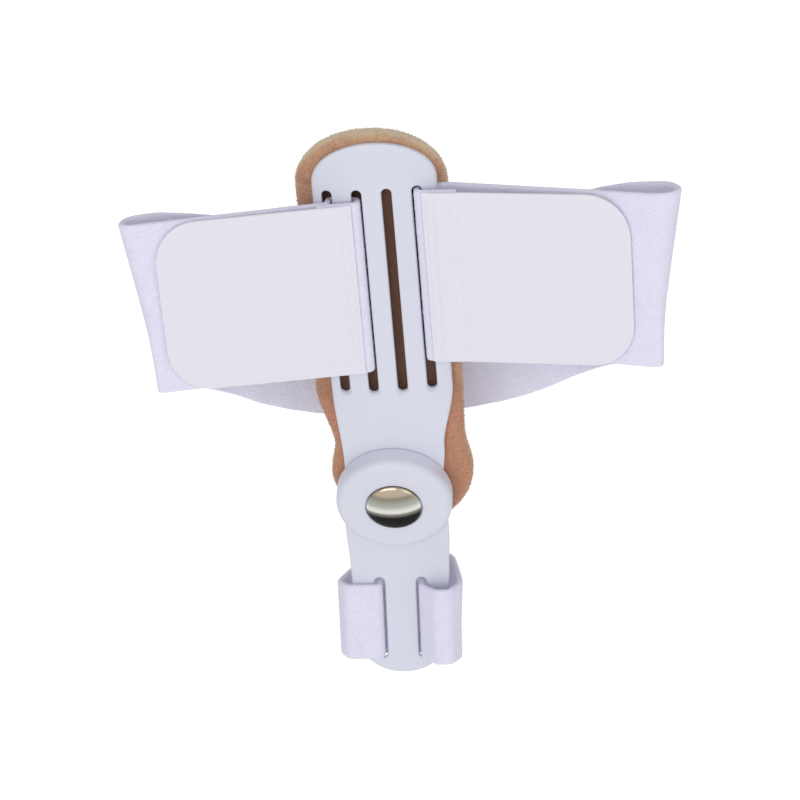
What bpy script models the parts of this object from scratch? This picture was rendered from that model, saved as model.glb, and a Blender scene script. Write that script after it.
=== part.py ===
# Bunion corrector: a splint with a hinge at the toe joint and two elastic straps.
# Run with: blender --background --python part.py
#
# Frame, in metres: +X is the viewer's right, -Y faces the viewer and +Z runs up to
# the ankle end. The origin lies on the pad's skin side, level with the middle of the
# long slots. Height along the splint is measured from the hinge axis and follows the
# bent plate. Depth is measured out of the foot plate's front face, towards the viewer.

import bpy
import bmesh
from math import atan2, cos, pi, radians, sin, sqrt
from mathutils import Matrix, Vector

for old in list(bpy.data.objects):
    bpy.data.objects.remove(old, do_unlink=True)

# Foot plate
PLATE_THICKNESS = 0.0020
PLATE_HALF_WIDTH = 0.0172
PLATE_SHIFT = 0.0008
PLATE_TOP = 0.0430
PLATE_TOP_ARCH = 0.0112
PLATE_ARCH_POWER = 2.0
NECK_HALF_WIDTH = 0.0147
CAMBER_RISE = 0.0029
PLATE_EDGE_RADIUS = 0.0006

# Slots of the foot plate, numbered from the left
SLOT_COUNT = 4
SLOT_PITCH = 0.00825

# Hinge
HINGE_TO_SLOTS = 0.0655
HINGE_SHIFT = -0.0015
HINGE_SLOPE_DEG = 16.5
BEND_START = 0.0340
BEND_END = 0.0160
PLATE_END_RADIUS = 0.0140
DISC_RADIUS = 0.0169
DISC_HEIGHT = 0.0065
DISC_EDGE_RADIUS = 0.0024
CAP_RADIUS = 0.0080
CAP_RISE = 0.0017
CAP_RIM = 0.0005
CAP_SEAT_DEPTH = 0.0007
RIVET_RADIUS = 0.0030
RIVET_HEAD_RADIUS = 0.0050
RIVET_HEAD_THICKNESS = 0.0010

# Toe plate
TOE_LENGTH = 0.0620
TOE_THICKNESS = 0.0022
TOE_HALF_WIDTH = 0.0152
TOE_TIP_HALF_WIDTH = 0.0138
TOE_TIP_LENGTH = 0.0120
TOE_FORWARD_DEG = 5.5
TOE_BEND_START = 0.0160
TOE_BEND_LENGTH = 0.0100
TOE_TURN_DEG = -2.0
TOE_ROOT_RISE = 0.0008
TOE_RIB_WIDTH = 0.0094
TOE_SLOT_START = 0.0310

# Pad
PAD_THICKNESS = 0.0060
PAD_HALF_WIDTH = 0.0212
PAD_SHIFT = -0.0008
PAD_TOP_MARGIN = 0.0022
PAD_TOP_ARCH = 0.0165
PAD_ARCH_POWER = 2.0
ROUND_POWER = 2.0
PAD_WAIST_HALF_WIDTH = 0.0188
PAD_WAIST_SHIFT = 0.0013
PAD_WAIST_HEIGHT = 0.0160
PAD_BULB_RADIUS = 0.0206
PAD_BULB_SHIFT = 0.0009
PAD_BULB_HEIGHT = 0.0040
PAD_EDGE_RADIUS = 0.0024

# Foot strap and its hook tabs
STRAP_THICKNESS = 0.0017
STRAP_WIDTH = 0.0502
STRAP_END_RUN = 0.0108
STRAP_BEND_RADIUS = 0.00125
LEFT_STRAP_END_GAP = 0.0028
RIGHT_STRAP_END_GAP = 0.0007
LEFT_REACH = 0.0653
RIGHT_REACH = 0.0788
LEFT_FLARE = 0.0175
RIGHT_FLARE = 0.0185
LEFT_FOLD_RADIUS = 0.0022
RIGHT_FOLD_RADIUS = 0.0034
BACK_DEPTH = 0.0185
BACK_HALF_WIDTH = 0.0230
BACK_BEND_RADIUS = 0.0450
BACK_DROP = 0.0300
LEFT_DROOP_DEG = 1.0
RIGHT_DROOP_DEG = 1.8
LEFT_LEAN_DEG = 7.6
RIGHT_LEAN_DEG = 9.5
BACK_LEAN_DEG = -9.0
LEAN_FADE_SHARE = 0.40
TAB_THICKNESS = 0.0009
TAB_CORNER_RADIUS = 0.0120
TAB_BEND_RADIUS = 0.0200
TAB_RISE = 0.00014
LEFT_TAB_REACH = 0.0598
RIGHT_TAB_REACH = 0.0696

# Toe strap
TOE_STRAP_THICKNESS = 0.0016
TOE_STRAP_WIDTH = 0.0242
TOE_STRAP_LEFT = 0.0186
TOE_STRAP_RIGHT = 0.0172
TOE_STRAP_BULGE = 0.0046
TOE_STRAP_DEPTH = 0.0225
TOE_STRAP_BACK_LEFT = 0.0105
TOE_STRAP_BACK_RIGHT = 0.0135
TOE_STRAP_BEND_RADIUS = 0.0012
TOE_STRAP_FOLD_RADIUS = 0.0024
TOE_STRAP_BACK_RADIUS = 0.0070
TOE_STRAP_LEAN_DEG = 5.0
TOE_STRAP_DROP = 0.0006

# Clearances
SLOT_END_ROOM = 0.0098
SLOT_SIDE_GAP = 0.00055
TOE_SLOT_END_ROOM = 0.0020
TOE_SLOT_SIDE_GAP = 0.0008
TAB_INSET = 0.0003
TOUCH_GAP = 0.0003
STRAP_GAP = 0.00035
HINGE_GAP = 0.0003
RIVET_GAP = 0.0003
TAB_GAP = 0.0003

# How finely round shapes are cut, and how sharply a corner may turn
ACROSS_STEPS = 10
EDGE_STEPS = 2
END_STEPS = 9
END_TURN = radians(87)
ROUND_STEPS = 48
SLOT_END_STEPS = 7
BEND_STEPS = 5
CUT_MARGIN = 0.0040
CORNER_SHARE = 0.40
EDGE_SHARE = 0.30
SHARP_ANGLE = radians(35)
STRAP_STEP = 0.0060
TOE_STRAP_STEP = 0.0050
TAB_STEP = 0.0010
TAB_CORNER_STEPS = 8

# Values worked out from the sizes above
SLOT_LENGTH = STRAP_WIDTH + SLOT_END_ROOM
SLOT_WIDTH = STRAP_THICKNESS + 2 * SLOT_SIDE_GAP
TOE_SLOT_LENGTH = TOE_STRAP_WIDTH + TOE_SLOT_END_ROOM
TOE_SLOT_WIDTH = TOE_STRAP_THICKNESS + 2 * TOE_SLOT_SIDE_GAP
LEFT_STRAP_LIFT = (SLOT_LENGTH - STRAP_WIDTH) / 2 - LEFT_STRAP_END_GAP
RIGHT_STRAP_LIFT = (SLOT_LENGTH - STRAP_WIDTH) / 2 - RIGHT_STRAP_END_GAP
HINGE_SLOPE = radians(HINGE_SLOPE_DEG)
TOE_BEND = HINGE_SLOPE + radians(TOE_FORWARD_DEG)
BEND_RADIUS = (BEND_START - BEND_END) / HINGE_SLOPE
TOE_BEND_RADIUS = TOE_BEND_LENGTH / TOE_BEND
STRAP_ROOM = STRAP_THICKNESS + 2 * STRAP_GAP
FRONT_Y = -(PAD_THICKNESS + STRAP_ROOM + PLATE_THICKNESS)
SLOT_HALF = SLOT_LENGTH / 2
SLOT_LOW = HINGE_TO_SLOTS - SLOT_HALF
SLOT_HIGH = HINGE_TO_SLOTS + SLOT_HALF
PLATE_TOP_HEIGHT = HINGE_TO_SLOTS + PLATE_TOP
PAD_TOP_HEIGHT = PLATE_TOP_HEIGHT + PAD_TOP_MARGIN
CAMBER = CAMBER_RISE / PLATE_HALF_WIDTH ** 2
LAYER = STRAP_GAP + STRAP_THICKNESS / 2


def smooth(value):
    value = min(max(value, 0.0), 1.0)
    return value * value * (3 - 2 * value)


def mix(first, second, share):
    return first + (second - first) * share


def spine(height):
    # Y, Z and slope of the foot plate's front face on the middle line
    turn_z = BEND_START - HINGE_TO_SLOTS
    if height >= BEND_START:
        return FRONT_Y, height - HINGE_TO_SLOTS, 0.0
    slope = min((BEND_START - height) / BEND_RADIUS, HINGE_SLOPE)
    rest = max(BEND_END - height, 0.0)
    y = FRONT_Y + BEND_RADIUS * (1 - cos(slope)) + rest * sin(slope)
    z = turn_z - BEND_RADIUS * sin(slope) - rest * cos(slope)
    return y, z, slope


def camber_at(height):
    # The plate is curved across at the slots and flat under the hinge disc
    return CAMBER * smooth((height - BEND_END) / (SLOT_LOW - BEND_END))


def place(x, height, depth):
    y, z, slope = spine(height)
    out = depth - camber_at(height) * x * x
    return Vector((x, y - out * cos(slope), z - out * sin(slope)))


HINGE_Y, HINGE_Z, HINGE_LEAN = spine(0.0)
HINGE_POINT = Vector((HINGE_SHIFT, HINGE_Y, HINGE_Z))
HINGE_AXIS = Vector((0.0, -cos(HINGE_LEAN), -sin(HINGE_LEAN)))
HINGE_DOWN = Vector((0.0, sin(HINGE_LEAN), -cos(HINGE_LEAN)))


def toe_place(x, down, depth):
    # A point of the toe piece, from the hinge axis, before its turn about that axis
    point = HINGE_DOWN * min(down, TOE_BEND_START)
    out = HINGE_AXIS
    past = down - TOE_BEND_START
    if past > 0:
        turn = min(past / TOE_BEND_RADIUS, TOE_BEND)
        rest = max(past - TOE_BEND_LENGTH, 0.0)
        along = HINGE_DOWN * cos(turn) + HINGE_AXIS * sin(turn)
        out = HINGE_AXIS * cos(turn) - HINGE_DOWN * sin(turn)
        point = point + HINGE_AXIS * TOE_BEND_RADIUS - out * TOE_BEND_RADIUS + along * rest
    return point + out * depth + Vector((x, 0.0, 0.0))


def material(name, colour, roughness, metallic=0.0):
    made = bpy.data.materials.new(name)
    made.use_nodes = True
    shader = made.node_tree.nodes["Principled BSDF"]
    shader.inputs["Base Color"].default_value = (*colour, 1.0)
    shader.inputs["Roughness"].default_value = roughness
    shader.inputs["Metallic"].default_value = metallic
    return made


def body(name, mesh_maker, surface):
    mesh = bpy.data.meshes.new(name)
    mesh_maker.to_mesh(mesh)
    mesh_maker.free()
    mesh.shade_smooth()
    mesh.set_sharp_from_angle(angle=SHARP_ANGLE)
    if surface:
        mesh.materials.append(surface)
    made = bpy.data.objects.new(name, mesh)
    bpy.context.collection.objects.link(made)
    return made


def loft(rings, closed=False):
    # Skins a row of rings of equal count, capped at both ends unless the row is closed
    shape = bmesh.new()
    rows = [[shape.verts.new(point) for point in ring] for ring in rings]
    count = len(rows[0])
    pairs = list(zip(rows, rows[1:]))
    if closed:
        pairs.append((rows[-1], rows[0]))
    for first, second in pairs:
        for step in range(count):
            after = (step + 1) % count
            shape.faces.new((first[step], first[after], second[after], second[step]))
    if not closed:
        shape.faces.new(list(reversed(rows[0])))
        shape.faces.new(rows[-1])
    bmesh.ops.recalc_face_normals(shape, faces=shape.faces)
    return shape


def rounded_section(left, right, back, front, radius, steps=ACROSS_STEPS):
    # Points (x, depth) round a bar with rounded corners, from the back left corner
    radius = min(radius, (right - left) * CORNER_SHARE, (front - back) * CORNER_SHARE)
    points = []
    for step in range(steps):
        points.append((mix(left + radius, right - radius, step / steps), back))
    corners = (
        (right - radius, back + radius, -pi / 2),
        (right - radius, front - radius, 0.0),
        (left + radius, front - radius, pi / 2),
        (left + radius, back + radius, pi),
    )
    for number, (x, depth, start) in enumerate(corners):
        last = EDGE_STEPS if number == 3 else EDGE_STEPS + 1
        for step in range(last):
            angle = start + step / EDGE_STEPS * pi / 2
            points.append((x + radius * cos(angle), depth + radius * sin(angle)))
        if number == 1:
            for step in range(1, steps):
                points.append((mix(right - radius, left + radius, step / steps), front))
    return points


def slab(stations, where, radius):
    # Lofts a plate from stations (height, left, right, back, front), with rounded ends
    rings = []
    for height, left, right, back, front in stations:
        section = rounded_section(left, right, back, front, radius)
        rings.append([where(x, height, depth) for x, depth in section])
    return loft(rings)


def arched_end(start, reach, middle, half, power, radius, depths):
    # Stations of an arched end, from its full width to its tip, with the tip rounded over
    size = abs(reach)
    rows = []
    for step in range(1, END_STEPS + 1):
        angle = END_TURN * step / END_STEPS
        out = size * sin(angle) ** (2 / power)
        wide = half * cos(angle) ** (2 / power)
        past = max(out - (size - radius), 0.0)
        inward = radius - sqrt(radius ** 2 - past ** 2)
        height = start + out * (1 if reach > 0 else -1)
        back, front = depths(height)
        rows.append((height, middle - wide, middle + wide, back + inward, front - inward))
    return rows


def cutter(name, shape):
    made = body(name, shape, None)
    made.hide_render = True
    made.display_type = "WIRE"
    return made


def boolean(target, other, operation):
    change = target.modifiers.new(other.name, "BOOLEAN")
    change.operation = operation
    change.object = other
    change.solver = "EXACT"


def slot_outline(half_length, half_width):
    points = []
    for side in (1, -1):
        for step in range(SLOT_END_STEPS + 1):
            angle = step / SLOT_END_STEPS * pi
            x = side * half_width * cos(angle)
            z = side * (half_length - half_width + half_width * sin(angle))
            points.append((x, z))
    return points


def slot_centre(number):
    return (number - (SLOT_COUNT + 1) / 2) * SLOT_PITCH


def round_angle(step):
    # Half a step round, so that no corner of a round piece meets a corner of a plate
    return 2 * pi * (step + 0.5) / ROUND_STEPS


def turned(profile, axis, centre):
    # A solid of revolution from (radius, distance along the axis) rows, ends on the axis
    side = Vector((1.0, 0.0, 0.0))
    other = axis.cross(side)
    shape = bmesh.new()
    rings = []
    for radius, along in profile:
        middle = centre + axis * along
        if radius == 0:
            rings.append([shape.verts.new(middle)])
            continue
        ring = []
        for step in range(ROUND_STEPS):
            out = side * cos(round_angle(step)) + other * sin(round_angle(step))
            ring.append(shape.verts.new(middle + out * radius))
        rings.append(ring)
    for first, second in zip(rings, rings[1:]):
        for step in range(ROUND_STEPS):
            after = (step + 1) % ROUND_STEPS
            corners = [first[step % len(first)], first[after % len(first)]]
            corners += [second[after % len(second)], second[step % len(second)]]
            kept = []
            for corner in corners:
                if corner not in kept:
                    kept.append(corner)
            shape.faces.new(kept)
    bmesh.ops.recalc_face_normals(shape, faces=shape.faces)
    return shape


def rounded_route(corners, closed=False):
    # Plan points of a route whose corners (x, y, radius) are rounded by arcs
    count = len(corners)
    points = []
    for index, (x, y, radius) in enumerate(corners):
        here = Vector((x, y))
        if not closed and index in (0, count - 1):
            points.append(here)
            continue
        before = Vector(corners[index - 1][:2])
        after = Vector(corners[(index + 1) % count][:2])
        come = (here - before).normalized()
        leave = (after - here).normalized()
        turn = atan2(come.x * leave.y - come.y * leave.x, come.dot(leave))
        reach = radius * abs(sin(turn / 2) / cos(turn / 2))
        side = 1 if turn > 0 else -1
        centre = here - come * reach + Vector((-come.y, come.x)) * radius * side
        start = here - come * reach - centre
        steps = max(2, round(abs(turn) / (pi / 2) * BEND_STEPS))
        for step in range(steps + 1):
            angle = turn * step / steps
            points.append(
                centre
                + Vector(
                    (
                        start.x * cos(angle) - start.y * sin(angle),
                        start.x * sin(angle) + start.y * cos(angle),
                    )
                )
            )
    return points


def band(plan, lifts, halves, thickness, closed=False, where=None, leans=None):
    # Lofts a strap along plan points. A lean tips its upper edge out of the loop.
    count = len(plan)
    rings = []
    for index in range(count):
        after = (index + 1) % count if closed else min(index + 1, count - 1)
        before = index - 1 if closed else max(index - 1, 0)
        along = plan[after] - plan[before]
        run = along.length
        slope = atan2(lifts[after] - lifts[before], run)
        along = along / run
        across = Vector((along.y, -along.x))
        half = halves[index] / cos(slope)
        lean = leans[index] if leans else 0.0
        skin = thickness / 2
        section = rounded_section(-half, half, -skin, skin, thickness * EDGE_SHARE, 1)
        ring = []
        for up, out in section:
            flat = plan[index] + across * (out - up * lean)
            z = lifts[index] + up
            ring.append(where(flat.x, flat.y, z) if where else Vector((flat.x, flat.y, z)))
        rings.append(ring)
    return loft(rings, closed)


def front_y(x):
    return FRONT_Y + CAMBER * x * x


def back_y(x):
    return front_y(x) + PLATE_THICKNESS


WHITE_PLASTIC = material("white plastic", (0.72, 0.74, 0.80), 0.34)
METAL = material("polished metal", (0.62, 0.60, 0.55), 0.16, 1.0)
VELOUR = material("brown velour", (0.53, 0.30, 0.17), 0.95)
ELASTIC = material("white pile elastic", (0.76, 0.75, 0.84), 0.92)
TAB_WHITE = material("hook tab", (0.80, 0.79, 0.84), 0.48)


def plate_edges(height):
    share = smooth((height - BEND_END) / (SLOT_LOW - BEND_END))
    half = mix(NECK_HALF_WIDTH, PLATE_HALF_WIDTH, share)
    middle = mix((HINGE_SHIFT + PLATE_SHIFT) / 2, PLATE_SHIFT, share)
    return middle, half


def plate_depths(height):
    return -PLATE_THICKNESS, 0.0


def make_foot_plate():
    back, front = plate_depths(0.0)
    radius = PLATE_EDGE_RADIUS
    end = (0.0, -PLATE_END_RADIUS, HINGE_SHIFT, PLATE_END_RADIUS, ROUND_POWER, radius)
    stations = arched_end(*end, plate_depths)[::-1]
    middle, half = plate_edges(BEND_END)
    for step in range(4):
        share = step / 4
        centre = mix(HINGE_SHIFT, middle, smooth(share))
        wide = mix(PLATE_END_RADIUS, half, smooth(share))
        stations.append((BEND_END * share, centre - wide, centre + wide, back, front))
    arch_start = PLATE_TOP_HEIGHT - PLATE_TOP_ARCH
    flat_start = SLOT_LOW + SLOT_WIDTH
    heights = [mix(BEND_END, flat_start, step / 8) for step in range(8)]
    heights += [mix(flat_start, arch_start, step / 6) for step in range(7)]
    for height in heights:
        middle, half = plate_edges(height)
        stations.append((height, middle - half, middle + half, back, front))
    top = (arch_start, PLATE_TOP_ARCH, PLATE_SHIFT, PLATE_HALF_WIDTH, PLATE_ARCH_POWER, radius)
    stations += arched_end(*top, plate_depths)
    plate = body("foot_plate", slab(stations, place, radius), WHITE_PLASTIC)
    for number in range(1, SLOT_COUNT + 1):
        outline = slot_outline(SLOT_HALF, SLOT_WIDTH / 2)
        x = slot_centre(number)
        near = FRONT_Y - CUT_MARGIN
        far = FRONT_Y + PLATE_THICKNESS + CAMBER_RISE + CUT_MARGIN
        rings = [[Vector((x + side, y, up)) for side, up in outline] for y in (near, far)]
        boolean(plate, cutter("slot_cut_%d" % number, loft(rings)), "DIFFERENCE")
    hole = RIVET_RADIUS + RIVET_GAP
    reach = PLATE_THICKNESS + CUT_MARGIN
    profile = ((0, -reach), (hole, -reach), (hole, CUT_MARGIN), (0, CUT_MARGIN))
    rivet_hole = cutter("plate_rivet_hole", turned(profile, HINGE_AXIS, HINGE_POINT))
    boolean(plate, rivet_hole, "DIFFERENCE")
    return plate


def disc_profile():
    low = HINGE_GAP
    top = HINGE_GAP + DISC_HEIGHT
    seat = top - CAP_SEAT_DEPTH
    bore = RIVET_RADIUS + RIVET_GAP
    seat_radius = CAP_RADIUS + RIVET_GAP
    rows = [(bore, low), (DISC_RADIUS, low)]
    for step in range(6):
        angle = step / 5 * pi / 2
        out = DISC_RADIUS - DISC_EDGE_RADIUS * (1 - cos(angle))
        rows.append((out, top - DISC_EDGE_RADIUS * (1 - sin(angle))))
    rows += [(seat_radius, top), (seat_radius, seat), (bore, seat), (bore, low)]
    return rows


def lathe_ring(profile, axis, centre):
    # A solid of revolution whose profile closes on itself round a bore
    side = Vector((1.0, 0.0, 0.0))
    other = axis.cross(side)
    rings = []
    for step in range(ROUND_STEPS):
        out = side * cos(round_angle(step)) + other * sin(round_angle(step))
        rings.append([centre + axis * along + out * radius for radius, along in profile[:-1]])
    return loft(rings, closed=True)


def toe_edges(down):
    share = (down - DISC_RADIUS) / (TOE_LENGTH - TOE_TIP_LENGTH - DISC_RADIUS)
    return mix(TOE_HALF_WIDTH, TOE_TIP_HALF_WIDTH, min(max(share, 0.0), 1.0))


def toe_depths(down):
    # The plate thickens towards the disc, whose face runs on into it
    back = HINGE_GAP + TOUCH_GAP
    lift = TOE_ROOT_RISE * (1 - smooth((down - TOE_BEND_START) / TOE_BEND_LENGTH))
    return back, HINGE_GAP + TOE_THICKNESS + lift


def make_toe_plate(pivot):
    blend_end = TOE_BEND_START + TOE_BEND_LENGTH
    tip_start = TOE_LENGTH - TOE_TIP_LENGTH
    root = sqrt(DISC_RADIUS ** 2 - TOE_HALF_WIDTH ** 2) - TOE_THICKNESS
    rows = [mix(root, TOE_BEND_START, step / 2) for step in range(2)]
    rows += [mix(TOE_BEND_START, blend_end, step / 8) for step in range(8)]
    rows += [mix(blend_end, tip_start, step / 3) for step in range(4)]
    stations = []
    for down in rows:
        stations.append((down, -toe_edges(down), toe_edges(down), *toe_depths(down)))
    radius = PLATE_EDGE_RADIUS
    back, front = toe_depths(TOE_LENGTH)
    stations += arched_end(
        tip_start, TOE_TIP_LENGTH, 0.0, TOE_TIP_HALF_WIDTH, ROUND_POWER, radius, toe_depths
    )
    plate = body("toe_plate", slab(stations, toe_place, radius), WHITE_PLASTIC)
    plate.parent = pivot
    disc = cutter("hinge_disc", lathe_ring(disc_profile(), HINGE_AXIS, Vector()))
    disc.parent = pivot
    boolean(plate, disc, "UNION")
    for side in (-1, 1):
        centre = side * (TOE_RIB_WIDTH + TOE_SLOT_WIDTH) / 2
        outline = slot_outline(TOE_SLOT_LENGTH / 2, TOE_SLOT_WIDTH / 2)
        middle = TOE_SLOT_START + TOE_SLOT_LENGTH / 2
        rings = []
        for depth in (back - CUT_MARGIN, front + CUT_MARGIN):
            rings.append([toe_place(centre + x, middle + down, depth) for x, down in outline])
        hole = cutter("toe_slot_cut_%d" % (1 if side < 0 else 2), loft(rings))
        hole.parent = pivot
        boolean(plate, hole, "DIFFERENCE")
    return plate


def make_hinge_cap():
    base = HINGE_GAP + DISC_HEIGHT - CAP_SEAT_DEPTH + TOUCH_GAP
    rim_top = base + CAP_RIM
    rise = CAP_RISE + CAP_SEAT_DEPTH - TOUCH_GAP - CAP_RIM
    tail = -PLATE_THICKNESS - TOUCH_GAP
    end = tail - RIVET_HEAD_THICKNESS
    profile = [(0, end), (RIVET_HEAD_RADIUS, end), (RIVET_HEAD_RADIUS, tail), (RIVET_RADIUS, tail)]
    profile += [(RIVET_RADIUS, base), (CAP_RADIUS, base)]
    for step in range(6):
        share = step / 6
        profile.append((CAP_RADIUS * cos(share * pi / 2), rim_top + rise * sin(share * pi / 2)))
    profile.append((0, rim_top + rise))
    return body("hinge_cap", turned(profile, HINGE_AXIS, HINGE_POINT), METAL)


def pad_front(height):
    # The foam gives way under the strap and meets the plate above and below it
    near = -PLATE_THICKNESS - TOUCH_GAP
    far = -PLATE_THICKNESS - STRAP_ROOM
    fade = SLOT_WIDTH
    low = smooth((height - (SLOT_LOW - fade)) / fade)
    high = smooth((SLOT_HIGH + fade - height) / fade)
    return mix(near, far, min(low, high))


def pad_depths(height):
    return -PLATE_THICKNESS - STRAP_ROOM - PAD_THICKNESS, pad_front(height)


def make_pad():
    radius = PAD_EDGE_RADIUS
    bulb = (PAD_BULB_HEIGHT, -PAD_BULB_RADIUS, PAD_BULB_SHIFT, PAD_BULB_RADIUS, ROUND_POWER, radius)
    stations = arched_end(*bulb, pad_depths)[::-1]
    arch_start = PAD_TOP_HEIGHT - PAD_TOP_ARCH
    heights = [mix(PAD_BULB_HEIGHT, PAD_WAIST_HEIGHT, step / 4) for step in range(4)]
    heights += [mix(PAD_WAIST_HEIGHT, SLOT_LOW - SLOT_WIDTH, step / 6) for step in range(6)]
    heights += [mix(SLOT_LOW - SLOT_WIDTH, SLOT_LOW, step / 3) for step in range(3)]
    heights += [mix(SLOT_LOW, arch_start, step / 6) for step in range(7)]
    for height in heights:
        up = smooth((height - PAD_WAIST_HEIGHT) / (SLOT_LOW - PAD_WAIST_HEIGHT))
        down = smooth((PAD_WAIST_HEIGHT - height) / (PAD_WAIST_HEIGHT - PAD_BULB_HEIGHT))
        half = mix(mix(PAD_WAIST_HALF_WIDTH, PAD_HALF_WIDTH, up), PAD_BULB_RADIUS, down)
        middle = mix(mix(PAD_WAIST_SHIFT, PAD_SHIFT, up), PAD_BULB_SHIFT, down)
        stations.append((height, middle - half, middle + half, *pad_depths(height)))
    top = (arch_start, PAD_TOP_ARCH, PAD_SHIFT, PAD_HALF_WIDTH, PAD_ARCH_POWER, radius)
    stations += arched_end(*top, pad_depths)
    pad = body("pad", slab(stations, place, radius), VELOUR)
    top = -PLATE_THICKNESS + CUT_MARGIN
    floor = -PLATE_THICKNESS - 2 * TOUCH_GAP - RIVET_HEAD_THICKNESS
    wide = RIVET_HEAD_RADIUS + TOUCH_GAP
    profile = ((0, floor), (wide, floor), (wide, top), (0, top))
    boolean(pad, cutter("rivet_pocket", turned(profile, HINGE_AXIS, HINGE_POINT)), "DIFFERENCE")
    return pad


def strap_corners():
    # The foot strap's route in plan, from its left free end to its right one
    slot_1 = slot_centre(1)
    slot_2 = slot_centre(2)
    slot_4 = slot_centre(4)
    bend = STRAP_BEND_RADIUS
    over_1 = front_y(slot_1) - LAYER
    over_2 = front_y(slot_2) - LAYER
    over_4 = front_y(slot_4) - LAYER
    under_1 = back_y(slot_1) + LAYER
    under_2 = back_y(slot_2) + LAYER
    under_4 = back_y(slot_4) + LAYER
    stacked = over_1 - STRAP_THICKNESS - STRAP_GAP
    left_end = slot_2 - STRAP_END_RUN
    right_end = slot_4 + STRAP_END_RUN
    rim = PLATE_SHIFT + PLATE_HALF_WIDTH + STRAP_THICKNESS
    rim_under = back_y(rim) + LAYER
    left_turn = 2 * LEFT_FOLD_RADIUS
    right_turn = 2 * RIGHT_FOLD_RADIUS
    return (
        (left_end, stacked - STRAP_GAP, 0),
        (slot_2, over_2, bend),
        (slot_2, under_2, bend),
        (slot_1, under_1, bend),
        (slot_1, over_1, bend),
        (-LEFT_REACH, -LEFT_FLARE, LEFT_FOLD_RADIUS),
        (-LEFT_REACH, -LEFT_FLARE + left_turn, LEFT_FOLD_RADIUS),
        (-BACK_HALF_WIDTH, BACK_DEPTH, BACK_BEND_RADIUS),
        (BACK_HALF_WIDTH, BACK_DEPTH, BACK_BEND_RADIUS),
        (RIGHT_REACH, -RIGHT_FLARE + right_turn, RIGHT_FOLD_RADIUS),
        (RIGHT_REACH, -RIGHT_FLARE, RIGHT_FOLD_RADIUS),
        (rim, rim_under, RIGHT_FOLD_RADIUS),
        (slot_4, under_4, bend),
        (slot_4, over_4, bend),
        (right_end, over_4 - STRAP_GAP, 0),
    )


def with_stops(points, longest):
    # Adds points so that no straight run is longer than the given length
    full = [points[0]]
    for point in points[1:]:
        span = (point - full[-1]).length
        parts = max(1, int(span / longest + 0.999))
        start = full[-1]
        for part in range(1, parts + 1):
            full.append(start.lerp(point, part / parts))
    return full


def wing_lift(x):
    # Height of a wing's middle line, which droops towards its fold
    if x < 0:
        past = max(slot_centre(1) - x, 0.0)
        return LEFT_STRAP_LIFT - past * sin(radians(LEFT_DROOP_DEG))
    past = max(x - slot_centre(4), 0.0)
    return RIGHT_STRAP_LIFT - past * sin(radians(RIGHT_DROOP_DEG))


def make_foot_strap():
    plan = with_stops(rounded_route(strap_corners()), STRAP_STEP)
    left_tip = min(range(len(plan)), key=lambda index: plan[index].x)
    right_tip = max(range(len(plan)), key=lambda index: plan[index].x)
    middle = min(range(left_tip, right_tip), key=lambda index: abs(plan[index].x))
    run = [0.0]
    for before, after in zip(plan, plan[1:]):
        run.append(run[-1] + (after - before).length)
    bottom = (LEFT_STRAP_LIFT + RIGHT_STRAP_LIFT) / 2 - BACK_DROP
    back_lean = sin(radians(BACK_LEAN_DEG))
    lifts = []
    leans = []
    for index, spot in enumerate(run):
        left = index <= middle
        tip = run[left_tip] if left else run[right_tip]
        lift = wing_lift(plan[left_tip if left else right_tip].x)
        lean = sin(radians(LEFT_LEAN_DEG if left else RIGHT_LEAN_DEG))
        share = (spot - tip) / (run[middle] - tip)
        if share < 0:
            lifts.append(wing_lift(plan[index].x))
            fold = LEFT_FOLD_RADIUS if left else RIGHT_FOLD_RADIUS
            leans.append(lean * smooth(1 - abs(spot - tip) / (fold * pi / 2)))
        else:
            lifts.append(mix(lift, bottom, (1 - cos(pi * share)) / 2))
            leans.append(mix(lean, back_lean, smooth(share / LEAN_FADE_SHARE)))
    halves = [STRAP_WIDTH / 2] * len(plan)
    shape = band(plan, lifts, halves, STRAP_THICKNESS, leans=leans)
    return body("foot_strap", shape, ELASTIC)


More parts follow.
